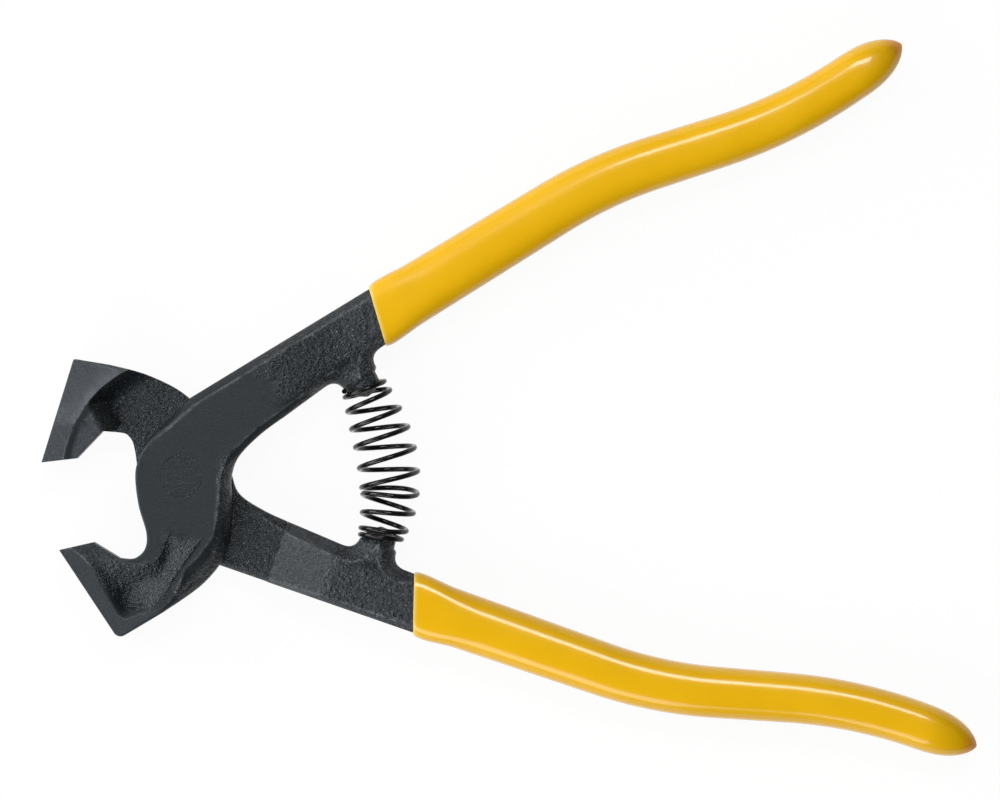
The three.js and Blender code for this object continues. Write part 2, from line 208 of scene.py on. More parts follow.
# ------------------------------------------------------------------ plane geometry


def turned(point, degrees):
    a = radians(degrees)
    x, y = point
    return np.array([x * cos(a) - y * sin(a), x * sin(a) + y * cos(a)])


def jaw_point(lever, forward, out):
    return turned((-forward, -out), lever["turn"])


def face_point(lever, distance):
    tilt = radians(lever["face_tilt"])
    return jaw_point(lever, lever["reach"] - distance * cos(tilt), distance * sin(tilt))


def bevel_point(lever, along, inwards):
    lean = radians(lever["lean"])
    forward = -along * sin(lean) - inwards * cos(lean)
    out = along * cos(lean) - inwards * sin(lean)
    return jaw_point(lever, lever["reach"] + forward, out)


def inner_corner(lever):
    slope = radians(lever["slope_angle"])
    step = jaw_point(lever, -lever["slope"] * cos(slope), lever["slope"] * sin(slope))
    return face_point(lever, lever["face"]) + step


def catmull(points, steps=12):
    """A smooth curve through the points."""
    p = np.array(points, float)
    p = np.vstack([p[0], p, p[-1]])
    made = []
    for a, b, c, d in zip(p[:-3], p[1:-2], p[2:-1], p[3:]):
        for t in np.arange(steps) / steps:
            made.append(
                b
                + 0.5 * (c - a) * t
                + (a - 2.5 * b + 2 * c - 0.5 * d) * t**2
                + (-0.5 * a + 1.5 * b - 1.5 * c + 0.5 * d) * t**3
            )
    made.append(p[-2])
    return np.array(made)


def smoothstep(low, high, value):
    t = np.clip((value - low) / (high - low), 0, 1)
    return t * t * (3 - 2 * t)


def smooth_max(a, b, blend):
    h = np.clip(0.5 + (a - b) / (2 * blend), 0, 1)
    return b + (a - b) * h + blend * h * (1 - h)


def bell(value, width):
    """1 where the value is 0, falling away over about the width."""
    return np.exp(-((value / width) ** 2))


def lumps(x, y, size, seed):
    """Soft uneven hills between -1 and 1, about the given size apart."""
    rng = np.random.default_rng(seed)
    total = np.zeros_like(x)
    for _ in range(14):
        angle = rng.uniform(0, 2 * pi)
        wave = 2 * pi / (size * rng.uniform(0.7, 1.6))
        total += np.sin((x * cos(angle) + y * sin(angle)) * wave + rng.uniform(0, 2 * pi))
    return total / 5.3


def tip_seam(lever):
    """The slightly bowed seam of the carbide block, from the cutting face to the bevel's side."""
    face, depth, length = lever["tip"]
    start, stop = face_point(lever, face), bevel_point(lever, length, depth)
    bow = (start + stop) / 2 + turned((stop - start) * 0.03, -90 if lever is REAR else 90)
    return catmull([start, bow, stop], 8)


class HandleLine:
    """Centre line of the handle: straight, bent inwards, straight, bent outwards, straight."""

    def __init__(self, lever):
        points = [np.array([0.0, lever["rise"]])]
        angle = radians(lever["angle"])
        first, second = (radians(b) for b in lever["bends"])
        self.step = 0.25
        done = 0.0
        plan = [
            (FIRST_BEND_AT, 0.0),
            (first * FIRST_BEND_RADIUS, -1 / FIRST_BEND_RADIUS),
            (BETWEEN_BENDS, 0.0),
            (second * SECOND_BEND_RADIUS, 1 / SECOND_BEND_RADIUS),
            (AFTER_BENDS, 0.0),
        ]
        ends = np.cumsum([length for length, _ in plan])
        while done < HANDLE_LENGTH + 2:
            curve = plan[int(np.searchsorted(ends, done, side="right"))][1]
            middle = angle + curve * self.step / 2
            points.append(points[-1] + self.step * np.array([cos(middle), sin(middle)]))
            angle += curve * self.step
            done += self.step
        self.points = np.array(points)

    def at(self, along):
        """Points and left-hand normals at distances along the line."""
        share = np.clip(np.asarray(along, float) / self.step, 0, len(self.points) - 2.001)
        i = share.astype(int)
        way = self.points[i + 1] - self.points[i]
        way = way / np.linalg.norm(way, axis=-1, keepdims=True)
        point = self.points[i] + (self.points[i + 1] - self.points[i]) * (share - i)[..., None]
        return point, np.stack([-way[..., 1], way[..., 0]], -1)

    def beside(self, along, offset):
        point, normal = self.at(along)
        return point + normal * np.asarray(offset, float)[..., None]


def rim_point(lever, line, offset, beyond=0.0):
    slide = offset * tan(radians(lever["rim_slant"]))
    return line.beside(lever["grip_start"] + slide + beyond, offset)


class Rim:
    """A closed or open run of straight pieces that carries edge values along it."""

    def __init__(self, points, values, closed=True):
        self.a = np.asarray(points, float)
        self.va = np.asarray(values, float)
        self.b = np.roll(self.a, -1, 0)
        self.vb = np.roll(self.va, -1, 0)
        if not closed:
            self.a, self.b = self.a[:-1], self.b[:-1]
            self.va, self.vb = self.va[:-1], self.vb[:-1]

    def nearest(self, points):
        """Distance to the run and the edge values at the nearest place on it."""
        points = np.asarray(points, float)
        distance = np.empty(len(points))
        values = np.empty((len(points), self.va.shape[1]))
        way = self.b - self.a
        size = np.maximum((way**2).sum(1), 1e-12)
        for start in range(0, len(points), 2000):
            p = points[start : start + 2000]
            rel = p[:, None, :] - self.a[None]
            t = np.clip((rel * way).sum(2) / size, 0, 1)
            gap = rel - t[..., None] * way
            far = (gap**2).sum(2)
            best = far.argmin(1)
            row = np.arange(len(p))
            share = t[row, best][:, None]
            distance[start : start + 2000] = np.sqrt(far[row, best])
            values[start : start + 2000] = self.va[best] * (1 - share) + self.vb[best] * share
        return distance, values

    def inside(self, points):
        points = np.asarray(points, float)
        held = np.zeros(len(points), bool)
        for a, b in zip(self.a, self.b):
            if a[1] == b[1]:
                continue
            crosses = (a[1] > points[:, 1]) != (b[1] > points[:, 1])
            at = a[0] + (points[:, 1] - a[1]) * (b[0] - a[0]) / (b[1] - a[1])
            held ^= crosses & (points[:, 0] < at)
        return held


def open_run(points):
    return Rim(points, np.zeros((len(points), 1)), closed=False)


def resample(points, values, spacing, corner=radians(14)):
    """Evens out a closed outline and keeps its corners."""
    points, values = np.asarray(points, float), np.asarray(values, float)
    keep = np.linalg.norm(points - np.roll(points, 1, 0), axis=1) > 1e-6
    points, values = points[keep], values[keep]
    before = points - np.roll(points, 1, 0)
    after = np.roll(points, -1, 0) - points
    bend = np.abs(
        (np.arctan2(after[:, 1], after[:, 0]) - np.arctan2(before[:, 1], before[:, 0]) + pi)
        % (2 * pi)
        - pi
    )
    corners = np.flatnonzero(bend > corner)
    count = len(points)
    made, carried = [], []
    for i, start in enumerate(corners):
        stop = corners[(i + 1) % len(corners)]
        run = [(start + k) % count for k in range((stop - start) % count + 1)]
        p, v = points[run], values[run]
        along = np.concatenate([[0], np.cumsum(np.linalg.norm(np.diff(p, axis=0), axis=1))])
        pieces = max(1, round(along[-1] / spacing))
        for at in np.arange(pieces) * along[-1] / pieces:
            made.append([np.interp(at, along, p[:, k]) for k in range(2)])
            carried.append([np.interp(at, along, v[:, k]) for k in range(v.shape[1])])
    return np.array(made), np.array(carried)


def round_corner(before, corner, after, radius, steps=8):
    """Points of an arc that rounds a corner."""
    u = (before - corner) / np.linalg.norm(before - corner)
    v = (after - corner) / np.linalg.norm(after - corner)
    half = np.arccos(np.clip(u @ v, -1, 1)) / 2
    reach = radius / tan(half)
    start, stop = corner + u * reach, corner + v * reach
    centre = corner + (u + v) / np.linalg.norm(u + v) * radius / sin(half)
    a, b = start - centre, stop - centre
    whole = np.arccos(np.clip(a @ b / radius**2, -1, 1))
    share = np.linspace(0, 1, steps + 1)[:, None]
    return centre + (a * np.sin((1 - share) * whole) + b * np.sin(share * whole)) / sin(whole)


def drop(inside, width, depth, power):
    """How far an edge has fallen below its face, that far in from the outline."""
    t = np.clip(1 - inside / np.maximum(width, 1e-6), 0, 1)
    return depth * (1 - np.maximum(1 - t**power, 0) ** (1 / power))


# ------------------------------------------------------------------ mesh making


def new_object(name, verts, faces, materials, smooth_angle=32):
    mesh = bpy.data.meshes.new(name)
    mesh.from_pydata([tuple(v) for v in verts], [], [tuple(f) for f in faces])
    mesh.validate()
    mesh.polygons.foreach_set("use_smooth", [True] * len(mesh.polygons))
    mesh.set_sharp_from_angle(angle=radians(smooth_angle))
    obj = bpy.data.objects.new(name, mesh)
    bpy.context.scene.collection.objects.link(obj)
    for material in materials:
        mesh.materials.append(material)
    return obj


def add_values(obj, name, values):
    attribute = obj.data.attributes.new(name, "FLOAT", "POINT")
    attribute.data.foreach_set("value", np.asarray(values, np.float32))


def place(lever, points):
    """From a lever's own millimetres to metres in the tool's frame, at rest."""
    side = 1 if lever is FRONT else -1
    p = np.array(points, float)
    if side < 0:
        p[:, 1:] *= -1
    a = radians(side * OPEN_ANGLE / 2)
    x = p[:, 0] * cos(a) - p[:, 1] * sin(a)
    y = p[:, 0] * sin(a) + p[:, 1] * cos(a)
    return np.stack([x, y, p[:, 2] + HALF], 1) * MM


def plate(loops, values, heights, spacing, rings, guides=(), wall_rows=3):
    """A solid between two height fields over an outline, with holes.

    heights(points, inside, values) gives the upper and the lower height and the surface values.
    The guides are lines that the triangles follow. Returns vertices, faces, surface values and
    each vertex's side, from 1 on the upper one to 0 on the lower one."""
    rims = [Rim(p, v) for p, v in zip(loops, values)]
    flat = Rim(np.vstack(loops), np.vstack(values))
    flat.a = np.vstack([r.a for r in rims])
    flat.b = np.vstack([r.b for r in rims])
    flat.va = np.vstack([r.va for r in rims])
    flat.vb = np.vstack([r.vb for r in rims])

    def held(points):
        ok = rims[0].inside(points)
        for hole in rims[1:]:
            ok &= ~hole.inside(points)
        return ok

    border = np.vstack(loops)
    edges = []
    first = 0
    for loop in loops:
        n = len(loop)
        edges += [(first + i, first + (i + 1) % n) for i in range(n)]
        first += n

    extra = []
    for loop in loops:
        way = np.roll(loop, -1, 0) - np.roll(loop, 1, 0)
        way /= np.linalg.norm(way, axis=1, keepdims=True)
        normal = np.stack([-way[:, 1], way[:, 0]], 1)
        probe = loop + normal * 0.02
        if held(probe).mean() < 0.5:
            normal = -normal
        for ring in rings:
            extra.append(np.hstack([loop + normal * ring, np.full((len(loop), 1), ring)]))
    extra = np.vstack(extra)
    far, _ = flat.nearest(extra[:, :2])
    extra = extra[(far > extra[:, 2] * 0.93) & held(extra[:, :2])][:, :2]

    low, high = loops[0].min(0), loops[0].max(0)
    row = spacing * 0.866  # rows of all but equal-sided triangles
    ys = np.arange(low[1], high[1], row)
    grid = []
    for i, y in enumerate(ys):
        xs = np.arange(low[0] + (i % 2) * spacing / 2, high[0], spacing)
        grid.append(np.stack([xs, np.full_like(xs, y)], 1))
    grid = np.vstack(grid)
    grid = grid[held(grid)]
    far, _ = flat.nearest(grid)
    grid = grid[far > rings[-1] + spacing * 0.5]
    for guide in guides:
        run = open_run(guide)
        extra = extra[run.nearest(extra)[0] > spacing * 0.4]
        grid = grid[run.nearest(grid)[0] > spacing * 0.5]
    if guides:
        kept = np.vstack(guides)
        kept = kept[held(kept)]
        extra = np.vstack([extra, kept[flat.nearest(kept)[0] > 0.06]])

    points = np.vstack([border, extra, grid])
    made = delaunay_2d_cdt([Vector(p) for p in points], edges, [], 0, 1e-7, True)
    flat_points = np.array([tuple(v) for v in made[0]])
    triangles = np.array([tuple(f) for f in made[2] if len(f) == 3])
    centre = flat_points[triangles].mean(1)
    triangles = triangles[held(centre)]
    a, b, c = (flat_points[triangles[:, k]] for k in range(3))
    area = (b - a)[:, 0] * (c - a)[:, 1] - (b - a)[:, 1] * (c - a)[:, 0]
    triangles[area < 0] = triangles[area < 0][:, ::-1]

    # The border's points keep their places in the triangulation.
    where = {}
    for new, olds in enumerate(made[3]):
        for old in olds:
            where[old] = new
    inside, carried = flat.nearest(flat_points)
    upper, lower, surface = heights(flat_points, inside, carried)
    count = len(flat_points)
    verts = [np.column_stack([flat_points, upper]), np.column_stack([flat_points, lower])]
    values_out = [surface, surface]
    side = [np.ones(count), np.zeros(count)]
    faces = [triangles, triangles[:, ::-1] + count]
    used = 2 * count
    first = 0
    for loop in loops:
        n = len(loop)
        ring = np.array([where[first + i] for i in range(n)])
        first += n
        rows = [ring]
        for k in range(1, wall_rows):
            share = k / wall_rows
            z = upper[ring] * (1 - share) + lower[ring] * share
            verts.append(np.column_stack([flat_points[ring], z]))
            values_out.append(surface[ring])
            side.append(np.full(n, 1 - share))
            rows.append(np.arange(used, used + n))
            used += n
        rows.append(ring + count)
        quads = []
        for top, under in zip(rows[:-1], rows[1:]):
            for i in range(n):
                j = (i + 1) % n
                quads.append((top[j], top[i], under[i], under[j]))
        quads = np.array(quads)
        # A wall faces away from the material whichever way its loop runs.
        mid = (flat_points[ring[0]] + flat_points[ring[1]]) / 2
        way = flat_points[ring[1]] - flat_points[ring[0]]
        left = mid + np.array([-way[1], way[0]]) / np.linalg.norm(way) * 0.02
        if not held(left[None])[0]:
            quads = quads[:, ::-1]
        faces.append(quads)
    faces = [f for group in faces for f in group.tolist()]
    return np.vstack(verts), faces, np.vstack(values_out), np.concatenate(side)


# ------------------------------------------------------------------ forged lever


def inner_edge(lever, line):
    """Start and end of the bar's inner edge, its direction and the way out of the bar."""
    start = np.array(lever["inner_root"])
    end = rim_point(lever, line, -BAR_WIDTH / 2, 4.0)
    way = (end - start) / np.linalg.norm(end - start)
    return start, end, way, np.array([way[1], -way[0]])


def stud_place(lever, line):
    """The middle of the stud's root, and how far the stud rises from it."""
    near = np.array(lever["inner_root"])
    far = rim_point(lever, line, -BAR_WIDTH / 2)
    share = (lever["stud_at"] - near[0]) / (far[0] - near[0])
    root = near + (far - near) * share
    return root, root[1] - lever["stud_meet"] - STUD_TIP_GAP


def stud_radius(rise, height):
    """Radius of the stud that far above the bar's edge."""
    rows = [0, STUD_RISE - 0.25, STUD_RISE, STUD_SEAT_TOP, height - 0.4, height]
    sizes = [STUD_ROOT, STUD_LEDGE, STUD_SEAT, STUD_SEAT - 0.3, STUD_TIP, STUD_TIP * 0.6]
    return np.interp(rise, rows, sizes)


def lever_outline(lever, line):
    """The bare lever's outline without its carbide tip, and edge values for both its sides."""
    points, values = [], []

    def go(run, outer, recess, outer_end=None, recess_end=None):
        run = np.atleast_2d(np.asarray(run, float))
        start = np.array(outer + recess)
        stop = np.array((outer_end or outer) + (recess_end or recess))
        share = np.linspace(0, 1, len(run))[:, None]
        points.append(run)
        values.append(start * (1 - share) + stop * share)

    tip_face, _, tip_length = lever["tip"]
    heel, corner = face_point(lever, lever["face"]), inner_corner(lever)
    go([face_point(lever, tip_face), heel], CRISP, CRISP)
    go([heel, corner], CRISP, CRISP)
    around_boss = ((155, 1), (132, 1), (109, 1.06), (86, 1.18))
    mouth = [turned((BOSS * swell, 0), angle) for angle, swell in around_boss]
    run = catmull([corner, *lever["throat"], *mouth, lever["outer_root"]])
    third = len(run) // 3
    go(run[1:third], CRISP, CRISP, ROUND_EDGE, BOSS_EDGE)
    go(run[third : 2 * third], ROUND_EDGE, BOSS_EDGE, BOSS_EDGE, BOSS_EDGE)
    go(run[2 * third :], BOSS_EDGE, BOSS_EDGE, DRAFT, (0.7, 0.6, 1.8))
    outer_end = rim_point(lever, line, BAR_WIDTH / 2, 4.0)
    inner, inner_end, along, out = inner_edge(lever, line)
    root_outer = np.array(lever["outer_root"]) + 0.2
    go([root_outer, outer_end], DRAFT, (0.9, 0.9, 1.3), DRAFT, (1.3, 1.2, 1.3))
    go([outer_end, inner_end], CRISP, CRISP)

    # Inner edge of the bar, out round the stud and back.
    root, height = stud_place(lever, line)
    flare = 2.4
    split = 9  # points of the curve that leads up each side of the stud
    rises = (STUD_RISE, STUD_RISE + 0.05, STUD_SEAT_TOP, height - 0.4, height)

    def stud_side(side):
        made = []
        start = root + along * side * (STUD_ROOT + flare)
        bend = root + along * side * STUD_ROOT * 0.93
        stop = root + along * side * (STUD_LEDGE + 0.1) + out * (STUD_RISE - 0.5)
        for t in np.linspace(0, 1, split):
            made.append((1 - t) ** 2 * start + 2 * t * (1 - t) * bend + t * t * stop)
        for rise in (STUD_RISE - 0.12, *rises):
            made.append(root + along * side * stud_radius(rise, height) + out * rise)
        return np.array(made)

    def round_section(radius):
        return (radius, radius * 0.97, 2.0)

    right, left = stud_side(1), stud_side(-1)
    ledge = round_section(STUD_LEDGE)
    sections = [round_section(stud_radius(rise, height)) for rise in (STUD_RISE, *rises)]
    go([inner_end, right[0]], BAR_EDGE, BAR_RECESS)
    go(right[:split], BAR_EDGE, BAR_RECESS, ledge, ledge)
    for point, section in zip(right[split:], sections):
        go(point, section, section)
    for point, section in zip(left[split:][::-1], sections[::-1]):
        go(point, section, section)
    go(left[:split][::-1], ledge, ledge, BAR_EDGE, BAR_RECESS)
    go([left[0], inner], BAR_EDGE, BAR_RECESS, (1.4, 1.7, 1.4), (2.2, 1.8, 1.1))

    # Crotch, back of the jaw and the bevel.
    crotch = catmull([inner, *lever["crotch"], *lever["back"][::-1]])
    x = crotch[:, 0]
    places = [-16, -11.5, -6, 1, 6, 9.5, 14, 24]
    wide = np.interp(x, places, [0.3, 1.5, 4.8, 4.5, 3.0, 2.2, 1.5, 1.4])
    deep = np.interp(x, places, [0.25, 1.3, 4.6, 4.9, 4.4, 3.2, 1.7, 1.7])
    soft = np.interp(x, [-16, -6, 9.5, 24], [1.8, 1.25, 1.5, 1.4])
    near = smoothstep(13, 24, x)
    recess_edge = (0.55 + 1.6 * near, 0.45 + 1.3 * near, np.full(len(x), 1.5))
    points.append(crotch[1:])
    values.append(np.stack([wide, deep, soft, *recess_edge], 1)[1:])
    bevel_end = bevel_point(lever, lever["height"] / cos(radians(lever["lean"])), 0)
    bevel_low = bevel_point(lever, tip_length, 0)
    rounding = round_corner(crotch[-1], bevel_end, bevel_low, lever["corner"])
    go(rounding, (0.3, 0.25, 1.8), CRISP, CRISP, CRISP)
    go([rounding[-1], bevel_low], CRISP, CRISP)
    go([bevel_point(lever, tip_length, 0.03), *tip_seam(lever)[:0:-1]], SEAM, SEAM)
    return np.vstack(points), np.vstack(values)


def back_edge(lever):
    """Back edge of the jaw, from its outer corner towards the handle."""
    end = bevel_point(lever, lever["height"] / cos(radians(lever["lean"])), 0)
    return open_run(catmull([end, *lever["back"][:3]], 8))


def from_bevel(lever, p):
    """How far in from the bevel."""
    start = bevel_point(lever, 0, 0)
    return (p - start) @ (bevel_point(lever, 0, 1) - start)


def jaw_axes(lever, p):
    """Places in the jaw's own directions: forward of the pivot and outwards."""
    ahead, out = turned((-1, 0), lever["turn"]), turned((0, -1), lever["turn"])
    return p @ ahead, p @ out


def strip_edge(lever, p):
    """Distance past the ground strip that borders the bevel and tapers out along the jaw's back."""
    _, out = jaw_axes(lever, p)
    width = np.interp(out, [-2.0, 0.5, 3.8, 7.0, 11.0, 15.0], [1.0, 1.95, 3.2, 3.4, 3.0, 3.0])
    back, _ = back_edge(lever).nearest(p)
    taper = 2.7 * smoothstep(-10.5, -22, p[:, 0])
    return -smooth_max(width - from_bevel(lever, p), taper - back, 1.8)


def mouth_run(lever):
    """The mouth's edge from the heel of the cutting face round to the boss."""
    start = [face_point(lever, lever["face"]), inner_corner(lever)]
    return np.vstack([start[:1], catmull([start[1], *lever["throat"], (-BOSS, 2.0)])])


def outer_height(lever, p, along):
    """Plain side: the flat pad, the long slope to the bar, and the jaw's forged hollow. Returns the
    height, and where it is ground and where it is left as forged."""
    fall = smoothstep(PAD_END - 1, PAD_END + PAD_RUN, along)
    z = HALF - (HALF - BAR_HALF) * fall
    edge = strip_edge(lever, p)
    _, out = jaw_axes(lever, p)
    throat = lever["throat"]
    rib_places = [throat[0][0] - 6, throat[0][0] - 2, throat[1][0], throat[2][0]]
    rib = np.interp(p[:, 0], rib_places, [0, 0.7, 2.1, 3.1])
    beside_mouth, _ = open_run(mouth_run(lever)).nearest(p)
    past_rib = beside_mouth - rib
    past_ridge, _ = open_run(RIDGE).nearest(p)
    past_ridge *= np.sign((p - RIDGE[2]) @ np.array([-0.5, 0.87]))
    past_pad = (p - (-5.2, -11.2)) @ np.array([-0.62, -0.78])
    side_wall = 6.0 - 3.2 * smoothstep(-13, -20, p[:, 1] + 0.4 * (p[:, 0] + 22))
    hollow = smoothstep(-0.2, side_wall, edge) ** 0.75
    hollow *= smoothstep(-0.2, 2.3 + 4.5 * smoothstep(-10.5, -14.5, p[:, 0]), past_rib)
    hollow *= smoothstep(-0.3, 8.5, past_ridge) ** 0.75
    hollow *= smoothstep(-1.0, 8.0, past_pad) ** 0.8
    hollow = np.where(p[:, 0] < 2, hollow, 0)
    depth = 1.3 + 1.9 * smoothstep(0, 11, out)
    z = z - depth * hollow
    soft = 0.1 + 0.8 * smoothstep(5, 14, out)
    ground = smoothstep(0.1 + soft, -soft, edge) * (p[:, 0] < -6)
    forged = smoothstep(0.0, 0.3 + 1.5 * soft, edge) * smoothstep(-0.3, 0.6, past_rib)
    forged *= 0.3 + 0.7 * smoothstep(2, 9, out)
    forged *= smoothstep(-0.4, 0.2, past_ridge) * smoothstep(-1.2, 1.5, past_pad) * (p[:, 0] < 2)
    return z, ground, forged


def facet_side(lever, p):
    """Distance past the flat that stands in front of the recess, beside the cutting face."""
    corner = inner_corner(lever)
    foot = turned(corner / np.linalg.norm(corner) * CREST, 8.5)
    way = (foot - corner) / np.linalg.norm(foot - corner)
    across = np.array([way[1], -way[0]])
    if (face_point(lever, 0) - corner) @ across > 0:
        across = -across
    return (p - corner) @ across


def strip_fall(p, r):
    """How far the recess side's ground strip falls away from the arc."""
    return 0.75 * (1 - np.exp(-np.maximum(r - CREST, 0) / 1.5)) * smoothstep(-4.5, -10, p[:, 1])


def recess_height(lever, p, along):
    """Recess side, as a height away from the middle of the joint."""
    r = np.hypot(p[:, 0], p[:, 1])
    beyond = facet_side(lever, p)
    share = np.clip((CREST - r) / (CREST - FOOT), 0, 1)
    bowl = -LAP + (HALF + LAP) * (1 - share) ** 2.9
    facet = HALF - 1.05 * smoothstep(0, 1.5, CREST - r) - 0.06 * np.maximum(CREST - r, 0)
    facet = facet - 0.9 * np.maximum(beyond + 0.4, 0) ** 1.3
    jaw = np.where(r < CREST, np.minimum(smooth_max(bowl, facet, 1.7), HALF), HALF - strip_fall(p, r))
    bar = -LAP + (BAR_HALF + LAP) * smoothstep(STEP_FOOT, STEP_TOP, along)
    jaw_side = smoothstep(4, 0, along) * (r > FOOT - 2)
    return bar * (1 - jaw_side) + jaw * jaw_side, r, beyond


def painted_edge_highlights(lever, p, inside, edge, along, seed):
    """How strongly highlight lines are painted along edges, crests and the arc, on the upper and on the
    lower side.
    """
    x, y = p[:, 0], p[:, 1]
    broken = 0.55 + 0.45 * lumps(x, y, 2.4, seed)
    upper = 0.9 * bell(inside - edge[:, 0], 0.2) * smoothstep(0.9, 1.3, edge[:, 0])
    seam = bell(strip_edge(lever, p) - 0.1, 0.16) * smoothstep(9, 5, jaw_axes(lever, p)[1])
    upper = np.maximum(upper, 1.2 * seam * (x < -20))
    shoulder = smoothstep(0.2, 0.5, inside) * smoothstep(1.7, 0.9, inside) * (edge[:, 0] > 2)
    upper = np.maximum(upper, 0.5 * shoulder * smoothstep(2, 6, x) * smoothstep(13, 10, x))
    lower = 1.6 * bell(inside - edge[:, 3], 0.2) * smoothstep(0.9, 1.3, edge[:, 3])
    arc = bell(np.hypot(x, y) - CREST - 0.5, 0.9) * (along < 0)
    lower = np.maximum(lower, 0.5 * arc * smoothstep(-21, -16, y))
    return upper * broken, lower * broken


def arc_guide(radius, start, stop, spacing):
    count = max(2, round(radius * abs(radians(stop - start)) / spacing))
    turn = np.radians(np.linspace(start, stop, count + 1))
    return np.stack([np.cos(turn), np.sin(turn)], 1) * radius


def make_lever(lever, settings, materials):
    """One forging: jaw, boss, bar and spring stud, with the tang that runs on inside the grip."""
    spacing = settings.mesh_step / MM
    line = HandleLine(lever)
    outline, edge_values = lever_outline(lever, line)
    outline, edge_values = resample(outline, edge_values, spacing)
    hole = arc_guide(RIVET_HEAD + 0.015, 0, 360, 0.36)[:-1]
    turn = np.arctan2(hole[:, 1], hole[:, 0])
    shut = 0.02 + 0.05 * np.clip(np.sin(3 * turn + 1.9) + 0.6 * np.sin(5 * turn), 0, 1)
    hole_values = np.stack([0 * turn + 0.12, shut, 0 * turn + 1.6] * 2, 1)
    root, height = stud_place(lever, line)
    _, _, way, out = inner_edge(lever, line)
    angle = radians(lever["angle"])
    handle, square = np.array([cos(angle), sin(angle)]), np.array([-sin(angle), cos(angle)])
    seed = 11 if lever is FRONT else 29

    def heights(p, inside, edge):
        along, across = p @ handle, p @ square
        rise, beside = (p - root) @ out, (p - root) @ way
        upper, ground, hollow = outer_height(lever, p, along)
        lower, r, beyond = recess_height(lever, p, along)
        # The spring stud stands out of the bar's inner edge.
        stud = stud_radius(np.maximum(rise, 0), height) * (0.84 + 0.16 * smoothstep(0.5, 3, rise))
        out_share = smoothstep(-1.8, 1.2, rise) * (np.abs(beside) < 10) * (along > 20)
        draft = smoothstep(-3.4, 0.4, rise) * smoothstep(20, 34, along) * (along > 20)
        upper = (upper - 0.9 * draft) * (1 - out_share) + stud * out_share
        lower = (lower - 1.2 * draft) * (1 - out_share) + stud * out_share
        # Where it is left as forged.
        uneven = 1.6 * lumps(p[:, 0], p[:, 1], 3.4, seed + 3)
        slope = smoothstep(23.0, 33.0, along + 0.3 * across + uneven)
        wall = smoothstep(1.75, 2.1, edge[:, 0]) * smoothstep(3.6, 2.2, inside) * (along < 20)
        rough_upper = np.clip(slope + hollow + wall, 0, 1) * (1 - ground)
        in_recess = ((r < CREST + 0.02) | (along > 0)) & (along < STEP_TOP)
        facet = smoothstep(0.3, -0.5, beyond) * (r < CREST) * (along < 0)
        rough_lower = np.where(in_recess, 1 - 0.8 * facet, np.where(along > 0, 0.4, 0.06))
        rough_lower = np.maximum(rough_lower, smoothstep(32.5, 35.5, along))
        coarse = lumps(p[:, 0], p[:, 1], 4.2, seed)
        medium = lumps(p[:, 0], p[:, 1], 1.6, seed + 1)
        relief = (0.05 * coarse + 0.035 * medium) * smoothstep(0, 0.6, inside)
        upper += rough_upper * relief
        lower += rough_lower * relief
        # The two faces fall away at the outline, and never meet.
        upper -= drop(inside, edge[:, 0], edge[:, 1], edge[:, 2])
        lower -= drop(inside, edge[:, 3], edge[:, 4], edge[:, 5])
        upper = np.minimum(upper, FACE)
        lower = np.minimum(lower, FACE)
        upper = np.maximum(upper, 0.25 - np.minimum(lower, 0.0) + LAP)
        lower = np.where(lower < 0, lower, np.maximum(lower, 0.05))
        # The bar is painted paler for a stretch past the recess: a painted sheen where light catches it,
        # partly a paler finish.
        bar_sheen = smoothstep(STEP_TOP - 0.2, STEP_TOP + 0.1, along)
        bar_sheen *= smoothstep(38, 32, along + lumps(p[:, 0], p[:, 1], 3.0, 5))
        pairs = {
            "rough": (rough_upper, rough_lower),
            # The plain side's ground strip is painted darker than the recess side's: painted sheen.
            "ground": (PLAIN_GROUND_SHEEN * ground, (r >= CREST) & (along < 0)),
            # Painted sheen on a stretch of the bar, partly a paler finish.
            "bar_sheen": (0 * bar_sheen, bar_sheen),
            # Painted highlight lines along edges, crests and the arc.
            "edge_highlight": painted_edge_highlights(lever, p, inside, edge, along, seed + 2),
            "facet": (0 * facet, facet),
            "drafted": [(inside < edge[:, k]) & (edge[:, k] > 1.2) for k in (0, 3)],
        }
        surface = np.hstack([np.stack(pairs[name], 1) for name in SURFACE])
        return upper, -lower, np.clip(surface, 0, 1)

    guides = [arc_guide(CREST + d, 172, 246, spacing) for d in (0.0, 0.14, -0.14, -0.42)]
    beside_line = square * np.linspace(-4, 30, 110)[:, None]
    guides += [handle * at + beside_line for at in (STEP_FOOT, STEP_TOP)]
    verts, faces, surface, plain = plate(
        [outline, hole],
        [edge_values, hole_values],
        heights,
        spacing,
        (0.07, 0.18, 0.34, 0.56, 0.85, 1.15, 1.45, 1.75, 2.05, 2.35, 2.65),
        guides,
    )
    # The bar runs on inside the grip as a tang.
    half = grip_half_width(lever)
    sizes = []
    for at in np.linspace(lever["grip_start"] - 2, HANDLE_LENGTH - 9, 40):
        sizes.append((at, half(at) - 1.4, BAR_HALF - 0.7, 3.0, 0.0))
    sizes.append((HANDLE_LENGTH - 7, half(HANDLE_LENGTH) * 0.45, BAR_HALF * 0.4, 2.0, 0.0))
    tang, tang_faces, _ = loft(line, sizes, 24)
    offset = len(verts)
    faces = faces + [[i + offset for i in f] for f in tang_faces]
    name = lever["name"] + "_forging"
    obj = new_object(name, place(lever, np.vstack([verts, tang])), faces, materials)
    seen = {}
    for k, value in enumerate(SURFACE):
        sides = surface[:, 2 * k] * plain + surface[:, 2 * k + 1] * (1 - plain)
        seen[value] = np.concatenate([sides, np.full(len(tang), float(value == "rough"))])
        add_values(obj, value, seen[value])
